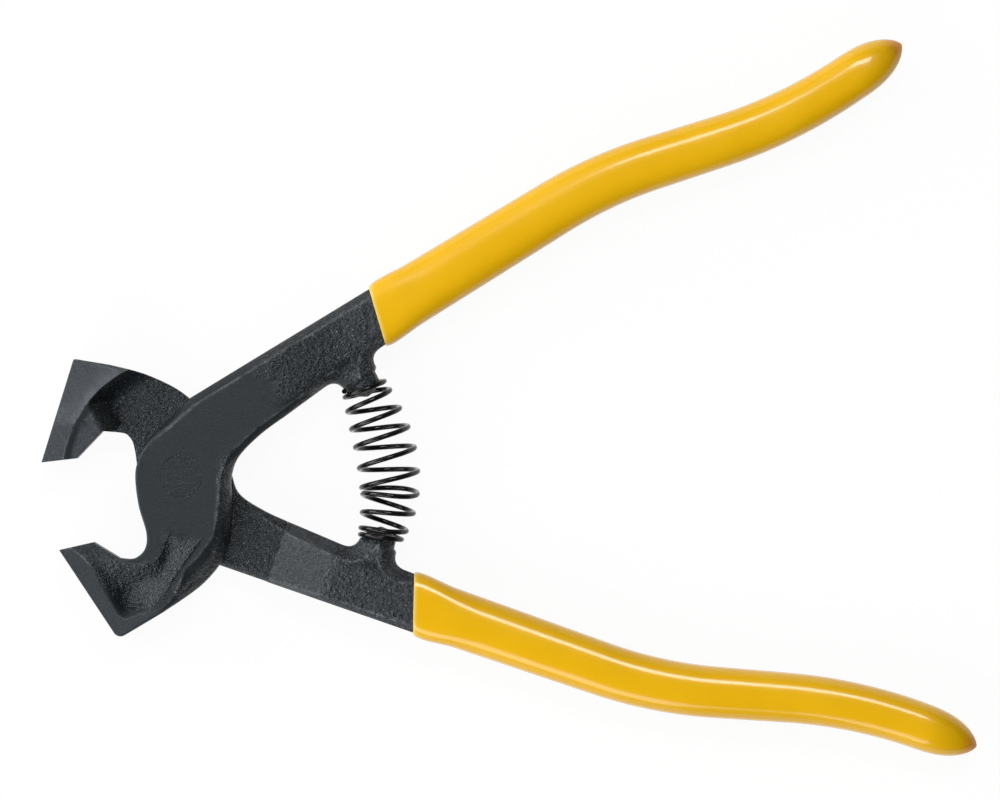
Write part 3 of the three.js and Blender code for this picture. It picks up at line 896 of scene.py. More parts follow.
    # Steep faces of the drafts, and upright walls, take the duller copy of the black: painted shade,
    # partly the drafts' dull scale.
    for face in obj.data.polygons:
        drafted = seen["drafted"][list(face.vertices)].mean() > 0.5
        face.material_index = int(abs(face.normal.z) < (STEEP if drafted else UPRIGHT))
    return obj


def make_tip(lever, materials):
    """Carbide block with a slightly bowed seam."""
    length = lever["tip"][2]
    beside, low = bevel_point(lever, length, 0.03), bevel_point(lever, length, 0)
    outline = np.vstack([bevel_point(lever, 0, 0), tip_seam(lever), beside, low])
    values = np.tile(np.array(CRISP * 2), (len(outline), 1))
    values[2:-1] = SEAM * 2
    outline, values = resample(outline, values, 0.4)

    def heights(p, inside, soft):
        r = np.hypot(p[:, 0], p[:, 1])
        upper = FACE - drop(inside, soft[:, 0], soft[:, 1], soft[:, 2])
        lower = FACE - strip_fall(p, r) - drop(inside, soft[:, 3], soft[:, 4], soft[:, 5])
        return upper, -lower, np.zeros((len(p), 1))

    verts, faces, _, plain = plate([outline], [values], heights, 0.5, (0.06, 0.16, 0.34))
    obj = new_object(lever["name"] + "_tip", place(lever, verts), faces, materials)
    # The tip's plain side is painted darker, like the strip beside it: painted sheen.
    add_values(obj, "ground", 1 + (PLAIN_GROUND_SHEEN - 1) * plain)
    return obj


# ------------------------------------------------------------------ grips


def grip_half_width(lever):
    wide, narrow = lever["grip_widths"]
    start = lever["grip_start"]

    def half(along):
        share = (np.asarray(along, float) - start) / (HANDLE_LENGTH - start)
        return (wide + (narrow - wide) * share) / 2

    return half


def loft(line, sizes, around):
    """A closed skin through sections of the handle, each a rounded box: where along the line, half
    width, half thickness, squareness and slant. Returns vertices, faces and places along the line."""
    turn = np.linspace(0, 2 * pi, around, endpoint=False)
    rings, alongs = [], []
    for along, wide, thick, squareness, slant in sizes:
        x = np.sign(np.cos(turn)) * np.abs(np.cos(turn)) ** (2 / squareness)
        z = np.sign(np.sin(turn)) * np.abs(np.sin(turn)) ** (2 / squareness)
        rings.append(np.column_stack([line.beside(along + x * wide * slant, x * wide), z * thick]))
        alongs.append(np.full(around, along))
    verts = np.vstack(rings)
    faces = []
    for k in range(len(sizes) - 1):
        a, b = k * around, (k + 1) * around
        for i in range(around):
            j = (i + 1) % around
            faces.append([a + i, a + j, b + j, b + i])
    for k, flip in ((0, True), (len(sizes) - 1, False)):
        ring = [k * around + i for i in range(around)]
        centre = len(verts)
        verts = np.vstack([verts, verts[ring].mean(0)])
        alongs.append([sizes[k][0]])
        for i in range(around):
            j = (i + 1) % around
            faces.append([ring[j], ring[i], centre] if flip else [ring[i], ring[j], centre])
    return verts, faces, np.concatenate(alongs)


def make_grip(lever, settings, materials):
    """A dipped sleeve: hollow, thin at its slanted rim, with a bullet-shaped end."""
    line = HandleLine(lever)
    half = grip_half_width(lever)
    start, end = lever["grip_start"], HANDLE_LENGTH
    slant = tan(radians(lever["rim_slant"]))
    bar = BAR_WIDTH / 2
    film = settings.film / MM
    # From the lining's closed end out to the rim, round the rim, and along the outside to the nose.
    rows = []
    for at in np.linspace(end - 8, start + 6, 30):
        rows.append((at, half(at) - 1.1, BAR_HALF - 0.4, 3.0, 0.0))
    for at in (start + 2.5, start + 0.25):
        rows.append((at, bar + 0.06, BAR_HALF + 0.1, RIM_SQUARE, slant))
    for share in np.linspace(0, 1, 7):
        swing = share * pi
        out = film * (1 - cos(swing)) / 2
        rows.append((start - 0.12 * sin(swing), bar + 0.1 + out, BAR_HALF + 0.14 + out, RIM_SQUARE, slant))
    rim_wide, rim_thick = bar + 0.1 + film, BAR_HALF + 0.14 + film
    nose_start = end - GRIP_NOSE
    for at in np.linspace(start + 0.25, nose_start, 190):
        past = at - start
        wide = rim_wide + (half(at) - rim_wide) * smoothstep(-1.5, 9.0, past)
        wide += 0.35 * (1 - np.exp(-past / 0.7)) * smoothstep(9.0, 2.0, past)
        thick = rim_thick + (GRIP_HALF - rim_thick) * smoothstep(0, 7.0, past)
        square = GRIP_SQUARE + (RIM_SQUARE - GRIP_SQUARE) * (1 - smoothstep(3.5, 15, past))
        rows.append((at, wide, thick, square, slant * (1 - smoothstep(0, 40, past))))
    for share in np.sin(np.linspace(0, pi / 2, 30))[1:]:
        at = nose_start + GRIP_NOSE * share
        size = max(1 - share**2.5, 0.0003) ** (1 / 1.5)
        rows.append((at, half(at) * size, GRIP_HALF * size, GRIP_SQUARE - 0.6 * share, 0.0))
    verts, faces, along = loft(line, rows, 96)
    obj = new_object(lever["name"] + "_dipped_grip", place(lever, verts), faces, materials, 50)
    add_values(obj, "tip", smoothstep(end - 4.0, end - 0.3, along))
    add_values(obj, "rim", smoothstep(start + 0.5, start + 0.1, along))
    return obj


# ------------------------------------------------------------------ rivet


def make_rivet(materials):
    """Shank with a countersunk head at each end, ground flush."""
    top, head = HALF - RIVET_FLUSH, RIVET_HEAD
    profile = [(0, top), (head * 0.5, top), (head - 0.12, top), (head - 0.03, top - 0.02)]
    profile += [(head, top - 0.12), (RIVET_SHANK, top - 1.2)]
    profile += [(radius, -z) for radius, z in profile[::-1]]
    around = 72
    turn = np.linspace(0, 2 * pi, around, endpoint=False)
    verts = [(0, 0, profile[0][1]), (0, 0, profile[-1][1])]
    for radius, z in profile[1:-1]:
        verts += [(radius * cos(t), radius * sin(t), z) for t in turn]
    faces = []
    rings = len(profile) - 2
    for i in range(around):
        j = (i + 1) % around
        faces.append([0, 2 + i, 2 + j])
        last = 2 + (rings - 1) * around
        faces.append([1, last + j, last + i])
        for k in range(rings - 1):
            a, b = 2 + k * around, 2 + (k + 1) * around
            faces.append([a + i, b + i, b + j, a + j])
    verts = np.array(verts)
    points = (verts + (0, 0, HALF)) * MM
    obj = new_object("flush_rivet", points, faces, materials, 8)
    add_values(obj, "rough", np.full(len(verts), 0.22))
    return obj


# ------------------------------------------------------------------ spring


def spring_seats():
    """Where the spring's axis starts and ends, with the point that each end is drawn towards."""
    ends = []
    for lever, side in ((REAR, -1), (FRONT, 1)):
        line = HandleLine(lever)
        root, _ = stud_place(lever, line)
        angle = radians(lever["angle"])
        seat = root + np.array([sin(angle), -cos(angle)]) * (STUD_RISE + COIL_SEAT)
        seat = turned(seat, OPEN_ANGLE / 2)
        lean = radians(lever["spring_lean"])
        point = np.array([seat[0], side * seat[1], HALF])
        ends.append((point, point + COIL_PULL * np.array([sin(lean), -side * cos(lean), 0])))
    return ends


class Tree:
    """Short ways to write a node tree."""

    def __init__(self, tree):
        self.tree = tree

    def node(self, kind, inputs=None, **settings):
        made = self.tree.nodes.new(kind)
        for key, value in settings.items():
            setattr(made, key, value)
        for key, value in (inputs or {}).items():
            self.feed(made.inputs[key], value)
        return made

    def feed(self, socket, value):
        if isinstance(value, bpy.types.NodeSocket):
            self.tree.links.new(value, socket)
        else:
            socket.default_value = value

    def maths(self, operation, *values):
        made = self.node("ShaderNodeMath", operation=operation)
        for socket, value in zip(made.inputs, values):
            self.feed(socket, value)
        return made.outputs[0]

    def vector(self, operation, *values):
        made = self.node("ShaderNodeVectorMath", operation=operation)
        sockets = [s for s in made.inputs if s.enabled]
        for socket, value in zip(sockets, values):
            self.feed(socket, value)
        return made.outputs[0]

    def span(self, value, low, high, to_low=0.0, to_high=1.0):
        made = self.node("ShaderNodeMapRange", {"Value": value, "From Min": low, "From Max": high})
        made.inputs["To Min"].default_value = to_low
        made.inputs["To Max"].default_value = to_high
        return made.outputs[0]


def coil_tree():
    """A barrel-shaped coil whose turns sit along the curve that the tree is given.

    The turns lean with whichever stud is near, so the coil kinks where the two leans meet."""
    t = Tree(bpy.data.node_groups.new("barrel_coil", "GeometryNodeTree"))
    face = t.tree.interface
    face.new_socket("Geometry", in_out="INPUT", socket_type="NodeSocketGeometry")
    sizes = [
        ("Turns", 10.0),
        ("Closed Turns", 1.3),
        ("Closed Pitch", 1.37 * MM),
        ("End Radius", 4.1 * MM),
        ("Barrel", 1.9 * MM),
        ("Fullness", 0.8),
        ("Wire Radius", 0.6 * MM),
        ("Steps per Turn", 40.0),
        ("Low Lean", radians(-17.5)),
        ("High Lean", radians(13.5)),
        ("Kink Turn", 3.55),
        ("Crowding", 1.1 * MM),
    ]
    for name, value in sizes:
        socket = face.new_socket(name, in_out="INPUT", socket_type="NodeSocketFloat")
        socket.default_value = value
    face.new_socket("Material", in_out="INPUT", socket_type="NodeSocketMaterial")
    face.new_socket("Geometry", in_out="OUTPUT", socket_type="NodeSocketGeometry")
    given = t.node("NodeGroupInput").outputs
    m = t.maths
    length = t.node("GeometryNodeCurveLength", {"Curve": given["Geometry"]}).outputs[0]
    count = m("ADD", m("MULTIPLY", given["Turns"], given["Steps per Turn"]), 1.0)
    line = t.node("GeometryNodeCurvePrimitiveLine")
    points = t.node("GeometryNodeResampleCurve", {"Curve": line.outputs[0], "Count": count})
    index = t.node("GeometryNodeInputIndex").outputs[0]
    turns = m("DIVIDE", index, given["Steps per Turn"])

    # How far up the axis each turn sits: closed, free and closed again, crowded past the kink.
    both = m("MULTIPLY", given["Closed Turns"], 2.0)
    free = m("SUBTRACT", given["Turns"], both)
    closed_length = m("MULTIPLY", both, given["Closed Pitch"])
    pitch = m("DIVIDE", m("SUBTRACT", length, closed_length), free)
    in_free = m("MINIMUM", m("MAXIMUM", m("SUBTRACT", turns, given["Closed Turns"]), 0.0), free)
    climb = m("MULTIPLY", m("SUBTRACT", turns, in_free), given["Closed Pitch"])
    climb = m("ADD", climb, m("MULTIPLY", in_free, pitch))
    past_kink = m("SUBTRACT", turns, given["Kink Turn"])
    off = m("POWER", m("ABSOLUTE", m("SUBTRACT", past_kink, 0.8)), 2.0)
    crowded = m("EXPONENT", m("MULTIPLY", off, -0.9))
    climb = m("SUBTRACT", climb, m("MULTIPLY", given["Crowding"], crowded))
    share = m("MINIMUM", m("MAXIMUM", m("DIVIDE", climb, length), 0.0), 1.0)

    arch = m("MAXIMUM", m("SINE", m("MULTIPLY", share, pi)), 0.0)
    bulge = m("MULTIPLY", m("POWER", arch, given["Fullness"]), given["Barrel"])
    radius = m("ADD", given["End Radius"], bulge)
    sample = t.node("GeometryNodeSampleCurve", {"Curves": given["Geometry"], "Factor": share})
    sample.mode = "FACTOR"
    snap = t.node("ShaderNodeMapRange", {"Value": past_kink, "From Min": -0.35, "From Max": 0.35})
    snap.interpolation_type = "SMOOTHSTEP"
    t.feed(snap.inputs["To Min"], given["Low Lean"])
    snap.inputs["To Max"].default_value = 0.0
    rest = m("SUBTRACT", given["Turns"], given["Kink Turn"])
    rise = m("MULTIPLY", given["High Lean"], m("DIVIDE", m("MAXIMUM", past_kink, 0.0), rest))
    lean = m("ADD", snap.outputs[0], rise)
    turn = m("SUBTRACT", pi, m("MULTIPLY", turns, 2 * pi))
    flat = m("MULTIPLY", radius, m("COSINE", turn))
    offset = t.node(
        "ShaderNodeCombineXYZ",
        {
            "X": m("MULTIPLY", flat, m("COSINE", lean)),
            "Y": m("MULTIPLY", flat, m("SINE", lean)),
            "Z": m("MULTIPLY", radius, m("SINE", turn)),
        },
    )
    at = t.vector("ADD", sample.outputs["Position"], offset.outputs[0])
    moved = t.node("GeometryNodeSetPosition", {"Geometry": points.outputs[0], "Position": at})
    ring = t.node("GeometryNodeCurvePrimitiveCircle", {"Resolution": 14, "Radius": given["Wire Radius"]})
    ring.mode = "RADIUS"
    wire = t.node(
        "GeometryNodeCurveToMesh",
        {"Curve": moved.outputs[0], "Profile Curve": ring.outputs[0], "Fill Caps": True},
    )
    real = t.node("GeometryNodeRealizeInstances", {"Geometry": wire.outputs[0]})
    done = t.node("GeometryNodeSetMaterial", {"Geometry": real.outputs[0], "Material": given["Material"]})
    end = t.node("NodeGroupOutput")
    t.feed(end.inputs[0], done.outputs[0])
    return t.tree


def grown(obj, tree, inputs, name):
    """Gives obj the tree with its named inputs, and keeps the result as a plain mesh."""
    modifier = obj.modifiers.new(tree.name, "NODES")
    modifier.node_group = tree
    for item in tree.interface.items_tree:
        if item.in_out == "INPUT" and item.name in inputs:
            modifier[item.identifier] = inputs[item.name]
    seen = obj.evaluated_get(bpy.context.evaluated_depsgraph_get())
    mesh = bpy.data.meshes.new_from_object(seen)
    bpy.data.objects.remove(obj)
    mesh.name = name
    made = bpy.data.objects.new(name, mesh)
    bpy.context.scene.collection.objects.link(made)
    mesh.polygons.foreach_set("use_smooth", [True] * len(mesh.polygons))
    mesh.set_sharp_from_angle(angle=radians(50))
    return made


def make_spring(settings, material):
    (low, low_way), (high, high_way) = spring_seats()
    axis = bpy.data.curves.new("spring_axis", "CURVE")
    axis.dimensions = "3D"
    axis.resolution_u = 48
    run = axis.splines.new("BEZIER")
    run.bezier_points.add(1)
    for point, at, way in ((run.bezier_points[0], low, low_way), (run.bezier_points[1], high, high_way)):
        point.handle_left_type = point.handle_right_type = "FREE"
        point.co = at * MM
        point.handle_left = point.handle_right = way * MM
    obj = bpy.data.objects.new("spring_axis", axis)
    bpy.context.scene.collection.objects.link(obj)
    inputs = {"Wire Radius": settings.wire / 2, "Turns": settings.turns, "Material": material}
    made = grown(obj, coil_tree(), inputs, "barrel_spring")
    return made, low * MM, high * MM


# ------------------------------------------------------------------ finishes


class Finish(Tree):
    """A material's node tree, with the shader at its end."""

    def __init__(self, name, **sockets):
        self.material = bpy.data.materials.new(name)
        self.material.use_nodes = True
        super().__init__(self.material.node_tree)
        self.shader = self.tree.nodes["Principled BSDF"]
        for key, value in sockets.items():
            self.shader.inputs[key.replace("_", " ")].default_value = value
        self.place = self.node("ShaderNodeTexCoord").outputs["Object"]

    def value(self, name):
        return self.node("ShaderNodeAttribute", attribute_name=name).outputs["Fac"]

    def noise(self, size, detail=2.0, roughness=0.5, stretch=None, turn=0.0, distortion=0.0):
        """Noise with features about size metres across."""
        where = self.place
        if stretch or turn:
            mapping = self.node("ShaderNodeMapping", {"Vector": where}, vector_type="TEXTURE")
            mapping.inputs["Rotation"].default_value = (0, 0, turn)
            mapping.inputs["Scale"].default_value = stretch or (1, 1, 1)
            where = mapping.outputs[0]
        made = self.node(
            "ShaderNodeTexNoise",
            {
                "Vector": where,
                "Scale": 1 / size,
                "Detail": detail,
                "Roughness": roughness,
                "Distortion": distortion,
            },
        )
        return made.outputs["Fac"]

    def cells(self, size, softness):
        """Distance to the nearest of points about size metres apart, softened where two meet."""
        made = self.node("ShaderNodeTexVoronoi", {"Vector": self.place, "Scale": 1 / size})
        if softness:
            made.feature = "SMOOTH_F1"
            made.inputs["Smoothness"].default_value = softness
        return made.outputs["Distance"]

    def mix(self, share, a, b):
        """A colour between two, by the share."""
        made = self.node("ShaderNodeMix", data_type="RGBA")
        self.feed(made.inputs["Factor"], share)
        for socket, value in zip((made.inputs[6], made.inputs[7]), (a, b)):
            self.feed(socket, value if isinstance(value, bpy.types.NodeSocket) else (*value[:3], 1))
        return made.outputs[2]

    def blend(self, share, a, b):
        """A number between two, by the share."""
        made = self.node("ShaderNodeMix", data_type="FLOAT")
        for key, value in zip((0, 2, 3), (share, a, b)):
            self.feed(made.inputs[key], value)
        return made.outputs[0]

    def bump(self, height, depth, below=None):
        made = self.node("ShaderNodeBump", {"Height": height, "Distance": depth, "Strength": 1.0})
        if below is not None:
            self.feed(made.inputs["Normal"], below)
        return made.outputs[0]

    def done(self, colour=None, roughness=None, normal=None):
        for key, value in (("Base Color", colour), ("Roughness", roughness), ("Normal", normal)):
            if value is not None:
                self.feed(self.shader.inputs[key], value)
        return self.material


def forging_finish(name, colours, shine):
    """Satin black over steel: smooth, rough as forged, or ground, by the surface's own values, with
    painted sheen, highlight lines and glints, and dust specks.
    """
    f = Finish(name, Metallic=0.0)
    f.shader.inputs["Specular IOR Level"].default_value = shine
    f.shader.inputs["Specular Tint"].default_value = (0.9, 0.96, 1.0, 1.0)
    rough, ground, bar_sheen = f.value("rough"), f.value("ground"), f.value("bar_sheen")
    edge_highlight, facet = f.value("edge_highlight"), f.value("facet")
    grain = f.noise(0.00034, 2.0, 0.6)
    fine = f.noise(0.0003, 2.0, 0.6)
    patch = f.span(f.noise(0.0032, 2.0, 0.5), 0.34, 0.62)
    bumps = f.span(f.cells(0.00078, 0.7), 0.0, 0.8, 1.0, 0.0)
    cloud = f.noise(0.006, 3.0, 0.6)
    scratch = f.noise(0.0010, 3.0, 0.65, stretch=(7.0, 0.4, 1.0), turn=radians(GRIND_TURN))
    soft, forged, bright = colours.forging, colours.scale, colours.ground
    base = f.mix(f.span(fine, 0.35, 0.66), [c * 0.6 for c in soft], [c * 1.7 for c in soft])
    speckle = f.mix(f.span(grain, 0.36, 0.62), [c * 0.5 for c in forged], [c * 1.7 for c in forged])
    base = f.mix(rough, base, speckle)
    # Painted sheen: a lighter black on a stretch of the bar where light catches it, partly a paler finish.
    bar_sheen_colour = colours.bar
    bar = f.mix(f.span(grain, 0.36, 0.64), [c * 0.75 for c in bar_sheen_colour], [c * 1.3 for c in bar_sheen_colour])
    base = f.mix(f.maths("MULTIPLY", bar_sheen, 0.85), base, bar)
    lined = f.mix(f.span(scratch, 0.32, 0.7), [c * 0.82 for c in bright], [c * 1.2 for c in bright])
    base = f.mix(f.maths("MAXIMUM", ground, facet), base, lined)
    # Painted glints: the peaks of the bumps on rough faces take the bright steel colour.
    peaks = f.span(f.maths("MULTIPLY", grain, bumps), 0.42, 0.56)
    base = f.mix(f.maths("MULTIPLY", f.maths("MULTIPLY", peaks, rough), 0.6), base, colours.dust_and_highlight)
    specks = f.maths("MULTIPLY", f.span(f.cells(0.0010, 0.0), 0.1, 0.14, 1.0, 0.0), rough)
    base = f.mix(specks, base, colours.dust_and_highlight)
    # Painted highlight: thin bright lines along edges, crests and the arc, in the bright steel colour.
    highlight_share = f.maths("MULTIPLY", edge_highlight, f.span(grain, 0.42, 0.62, 0.25, 1.0))
    base = f.mix(highlight_share, base, colours.dust_and_highlight)
    gloss = f.blend(rough, f.span(cloud, 0.3, 0.7, 0.43, 0.5), f.span(grain, 0.3, 0.7, 0.2, 0.36))
    gloss = f.blend(ground, gloss, f.span(scratch, 0.3, 0.7, 0.34, 0.46))
    pebbled = f.maths("MULTIPLY", bumps, f.span(patch, 0.0, 1.0, 0.45, 1.0))
    relief = f.maths("ADD", f.maths("MULTIPLY", grain, 0.55), f.maths("MULTIPLY", pebbled, 0.5))
    relief = f.blend(rough, f.maths("MULTIPLY", fine, 0.14), relief)
    normal = f.bump(relief, 0.00050)
    normal = f.bump(f.maths("MULTIPLY", scratch, f.maths("MAXIMUM", ground, facet)), 0.00005, normal)
    return f.done(base, gloss, normal)


def vinyl_finish(name, colours):
    """Glossy dipped vinyl, thicker and more orange at the end where it dripped."""
    f = Finish(name, Metallic=0.0)
    f.shader.inputs["Specular IOR Level"].default_value = 0.34
    f.shader.inputs["Coat Weight"].default_value = 0.4
    f.shader.inputs["Coat Roughness"].default_value = 0.08
    cloud = f.noise(0.014, 2.0, 0.5)
    fine = f.noise(0.0006, 2.0, 0.5)
    body = colours.grip
    thin = [c * share for c, share in zip(body, (0.97, 0.95, 0.9))]
    base = f.mix(f.span(cloud, 0.3, 0.7), thin, body)
    base = f.mix(f.maths("MULTIPLY", f.value("tip"), 0.75), base, colours.grip_tip)
    base = f.mix(f.maths("MULTIPLY", f.value("rim"), 0.7), base, colours.grip_rim)
    wave = f.noise(0.009, 1.0, 0.4)
    normal = f.bump(wave, 0.00016)
    normal = f.bump(fine, 0.000004, normal)
    return f.done(base, f.span(cloud, 0.3, 0.7, 0.2, 0.27), normal)


def spring_finish(name, colours):
    """Oiled black spring steel with faint drawing marks."""
    f = Finish(name, Metallic=0.0)
    f.shader.inputs["Specular IOR Level"].default_value = 0.32
    fine = f.noise(0.0003, 2.0, 0.6)
    black = colours.spring
    base = f.mix(f.span(fine, 0.3, 0.7), [c * 0.7 for c in black], [c * 1.3 for c in black])
    normal = f.bump(fine, 0.000006)
    return f.done(base, f.span(fine, 0.3, 0.7, 0.08, 0.14), normal)


def floor_finish():
    """A white floor that keeps the tool's shadow and shows white beside it."""
    f = Finish("floor_white", Roughness=0.9)
    f.shader.inputs["Specular IOR Level"].default_value = 0.0
    tone = f.noise(0.05, 2.0, 0.5)
    base = f.mix(f.span(tone, 0.3, 0.7), (0.54, 0.54, 0.54), (0.56, 0.56, 0.56))
    f.feed(f.shader.inputs["Base Color"], base)
    light = f.node("ShaderNodeLightPath").outputs
    seen = f.maths("MAXIMUM", light["Is Camera Ray"], light["Is Glossy Ray"])
    seen = f.maths("MAXIMUM", seen, light["Is Transmission Ray"])
    glow = f.node("ShaderNodeEmission", {"Color": (1, 1, 1, 1), "Strength": 1.05})
    mixed = f.node("ShaderNodeMixShader")
    f.feed(mixed.inputs[0], f.maths("MULTIPLY", seen, 0.9))
    f.feed(mixed.inputs[1], f.shader.outputs[0])
    f.feed(mixed.inputs[2], glow.outputs[0])
    out = f.tree.nodes["Material Output"]
    f.feed(out.inputs["Surface"], mixed.outputs[0])
    return f.material


# ------------------------------------------------------------------ settings, operators and panel


class NippersSizes(bpy.types.PropertyGroup):
    mesh_step: bpy.props.FloatProperty(
        name="Mesh Step",
        description="Spacing of the points on the forgings",
        default=0.34 * MM,
        min=0.2 * MM,
        subtype="DISTANCE",
        unit="LENGTH",
    )
    film: bpy.props.FloatProperty(
        name="Grip Film",
        description="Thickness of the dipped vinyl at its rim",
        default=0.42 * MM,
        subtype="DISTANCE",
        unit="LENGTH",
    )
    wire: bpy.props.FloatProperty(
        name="Spring Wire",
        description="Diameter of the spring's wire",
        default=1.06 * MM,
        subtype="DISTANCE",
        unit="LENGTH",
    )
    turns: bpy.props.FloatProperty(
        name="Spring Turns",
        description="Turns of the spring, closed ones included",
        default=10.0,
    )


def colour_property(name, description, default):
    return bpy.props.FloatVectorProperty(
        name=name, description=description, default=default, size=3, min=0, max=1, subtype="COLOR"
    )


class NippersColours(bpy.types.PropertyGroup):
    forging: colour_property("Satin Black", "The smooth blackened faces", (0.0088, 0.0120, 0.0146))
    scale: colour_property("Forged Black", "The faces left as forged", (0.0110, 0.0138, 0.0162))
    # Painted sheen: the lighter black of a stretch of the bar where light catches it, partly a paler
    # finish.
    bar: colour_property("Bar Black", "The paler stretch of the bar", (0.056, 0.062, 0.067))
    ground: colour_property("Ground Steel", "The ground faces, thinly blackened", (0.044, 0.050, 0.057))
    # A bright steel colour: painted highlight on edges, painted glints on bump peaks, and specks of dust.
    dust_and_highlight: colour_property("Rubbed Steel", "Edges and peaks rubbed bright", (0.17, 0.18, 0.195))
    grip: colour_property("Vinyl", "The dipped grips", (0.84, 0.468, 0.0015))
    grip_tip: colour_property("Vinyl End", "Where the vinyl gathered at the end", (0.72, 0.22, 0.01))
    grip_rim: colour_property("Vinyl Rim", "The thin rim of the vinyl", (0.85, 0.6, 0.12))
    spring: colour_property("Spring Black", "The oiled spring", (0.006, 0.006, 0.0065))


def steel_materials(colours):
    """The satin black of the faces, and a duller copy of it as painted shade on steep drafts and upright
    walls, partly their dull scale.
    """
    made = []
    for name, shine in (("satin_black_steel", 0.5), ("dull_scale_black", 0.24)):
        found = bpy.data.materials.get(name)
        made.append(found or forging_finish(name, colours, shine))
    return made


def settle(obj, body, slot, *nodes):
    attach(obj, body)
    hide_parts(*nodes)


class NIPPERS_OT_forgings(bpy.types.Operator):
    """Make the two forged levers"""

    bl_idname = "nippers.forgings"
    bl_label = "Forged Levers"

    def execute(self, context):
        scene = context.scene
        for lever in (FRONT, REAR):
            obj = make_lever(lever, scene.nippers_sizes, steel_materials(scene.nippers_colours))
            settle(obj, lever["name"] + "_half", "forging_black", lever["name"] + "_lever")
        return {"FINISHED"}


class NIPPERS_OT_tips(bpy.types.Operator):
    """Make the brazed carbide tips"""

    bl_idname = "nippers.tips"
    bl_label = "Carbide Tips"

    def execute(self, context):
        for lever in (FRONT, REAR):
            obj = make_tip(lever, steel_materials(context.scene.nippers_colours)[:1])
            settle(obj, lever["name"] + "_half", "carbide_grey", lever["name"] + "_carbide_tip")
        return {"FINISHED"}


class NIPPERS_OT_rivet(bpy.types.Operator):
    """Make the flush pivot rivet"""

    bl_idname = "nippers.rivet"
    bl_label = "Pivot Rivet"

    def execute(self, context):
        obj = make_rivet(steel_materials(context.scene.nippers_colours)[:1])
        settle(obj, "rear_half", "rivet_black", "pivot_rivet")
        return {"FINISHED"}


class NIPPERS_OT_spring(bpy.types.Operator):
    """Make the barrel spring between the two studs"""

    bl_idname = "nippers.spring"
    bl_label = "Barrel Spring"

    def execute(self, context):
        black = spring_finish("oiled_spring_black", context.scene.nippers_colours)
        obj, low, high = make_spring(context.scene.nippers_sizes, black)
        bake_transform(obj)
        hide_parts("return_spring")
        return {"FINISHED"}


class NIPPERS_OT_grips(bpy.types.Operator):
    """Make the dipped grips"""

    bl_idname = "nippers.grips"
    bl_label = "Dipped Grips"

    def execute(self, context):
        vinyl = vinyl_finish("dipped_vinyl", context.scene.nippers_colours)
        for lever in (FRONT, REAR):
            obj = make_grip(lever, context.scene.nippers_sizes, [vinyl])
            settle(obj, lever["name"] + "_half", "vinyl_yellow", lever["name"] + "_grip")
        return {"FINISHED"}


def make_floor(scene):
    mesh = bpy.data.meshes.new("studio_floor")
    square = ((-1, -1), (1, -1), (1, 1), (-1, 1))
    corners = [(x * FLOOR_REACH, y * FLOOR_REACH, 0) for x, y in square]
    mesh.from_pydata(corners, [], [(0, 1, 2, 3)])
    mesh.materials.append(floor_finish())
    floor = bpy.data.objects.new("studio_floor", mesh)
    scene.collection.objects.link(floor)


def make_camera(scene):
    """A camera high above, looking straight down, so that it sees hardly any of the side walls."""
    eye = bpy.data.objects.new("camera", bpy.data.cameras.new("camera"))
    scene.collection.objects.link(eye)
    scene.camera = eye
    eye.data.sensor_width = 36
    eye.data.lens = eye.data.sensor_width * CAMERA_HEIGHT / VIEW_WIDTH
    eye.data.clip_end = 20
    spot = Matrix.Translation((*VIEW_CENTRE, HALF * MM + CAMERA_HEIGHT))
    eye.matrix_world = spot @ Matrix.Rotation(radians(VIEW_TURN), 4, "Z")


def make_lamps(scene):
    for name, spot, size, power in LAMPS:
        data = bpy.data.lights.new(name, "AREA")
        data.shape = "RECTANGLE"
        data.size, data.size_y = size
        data.energy = power
        obj = bpy.data.objects.new(name, data)
        away = Vector(spot) - Vector(LAMP_AIM)
        facing = away.to_track_quat("Z", "Y").to_matrix().to_4x4()
        obj.matrix_world = Matrix.Translation(spot) @ facing
        scene.collection.objects.link(obj)


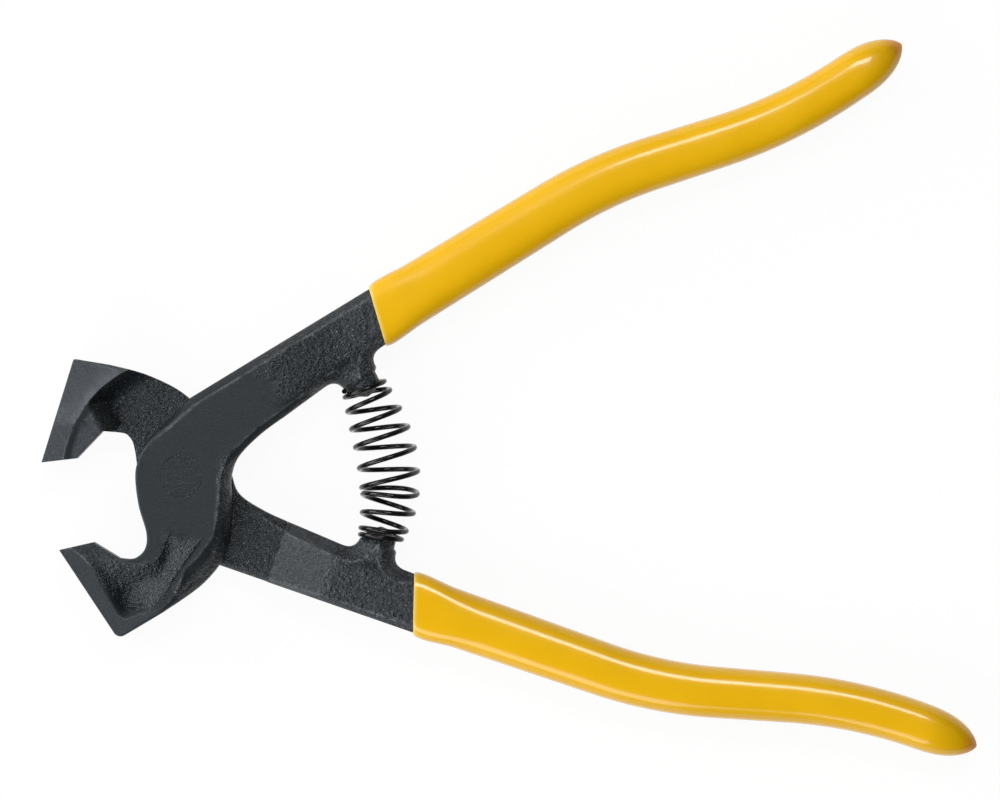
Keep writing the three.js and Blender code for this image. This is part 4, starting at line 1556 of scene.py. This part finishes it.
def make_world(scene):
    """White all round, brightest low down in the west and north."""
    world = bpy.data.worlds.new("studio")
    world.use_nodes = True
    t = Tree(world.node_tree)
    back = world.node_tree.nodes["Background"]
    way = t.node("ShaderNodeTexCoord").outputs["Generated"]
    east, north, rise = t.node("ShaderNodeSeparateXYZ", {"Vector": way}).outputs[:3]
    low = t.span(rise, 0.08, 0.36, 1.0, 0.15)
    west = t.maths("SUBTRACT", t.maths("MULTIPLY", north, 0.5), t.maths("MULTIPLY", east, 0.8))
    side = t.span(west, -0.7, 0.5, 0.2, 1.15)
    t.feed(back.inputs["Strength"], t.maths("MULTIPLY", low, side))
    back.inputs["Color"].default_value = (1, 1, 1, 1)
    scene.world = world


class NIPPERS_OT_stage(bpy.types.Operator):
    """Set up the floor, the soft lights and the camera"""

    bl_idname = "nippers.stage"
    bl_label = "Stage"

    def execute(self, context):
        make_floor(context.scene)
        make_camera(context.scene)
        make_lamps(context.scene)
        make_world(context.scene)
        context.scene.view_settings.view_transform = "Standard"
        return {"FINISHED"}


OPERATORS = (
    NIPPERS_OT_forgings,
    NIPPERS_OT_tips,
    NIPPERS_OT_rivet,
    NIPPERS_OT_spring,
    NIPPERS_OT_grips,
    NIPPERS_OT_stage,
)


class NIPPERS_PT_panel(bpy.types.Panel):
    """Sizes, colours and pieces of the nippers"""

    bl_idname = "NIPPERS_PT_panel"
    bl_label = "Tile Nippers"
    bl_space_type = "VIEW_3D"
    bl_region_type = "UI"
    bl_category = "Nippers"

    def draw(self, context):
        layout = self.layout
        scene = context.scene
        for group in (scene.nippers_sizes, scene.nippers_colours):
            column = layout.column()
            for name in group.__annotations__:
                column.prop(group, name)
        for operator in OPERATORS:
            layout.operator(operator.bl_idname)


CLASSES = (NippersSizes, NippersColours, *OPERATORS, NIPPERS_PT_panel)


def register():
    for kind in CLASSES:
        bpy.utils.register_class(kind)
    bpy.types.Scene.nippers_sizes = bpy.props.PointerProperty(type=NippersSizes)
    bpy.types.Scene.nippers_colours = bpy.props.PointerProperty(type=NippersColours)


def unregister():
    del bpy.types.Scene.nippers_colours
    del bpy.types.Scene.nippers_sizes
    for kind in reversed(CLASSES):
        bpy.utils.unregister_class(kind)


def main():
    register()
    for operator in OPERATORS:
        group, name = operator.bl_idname.split(".")
        getattr(getattr(bpy.ops, group), name)()


if __name__ == "__main__":
    main()
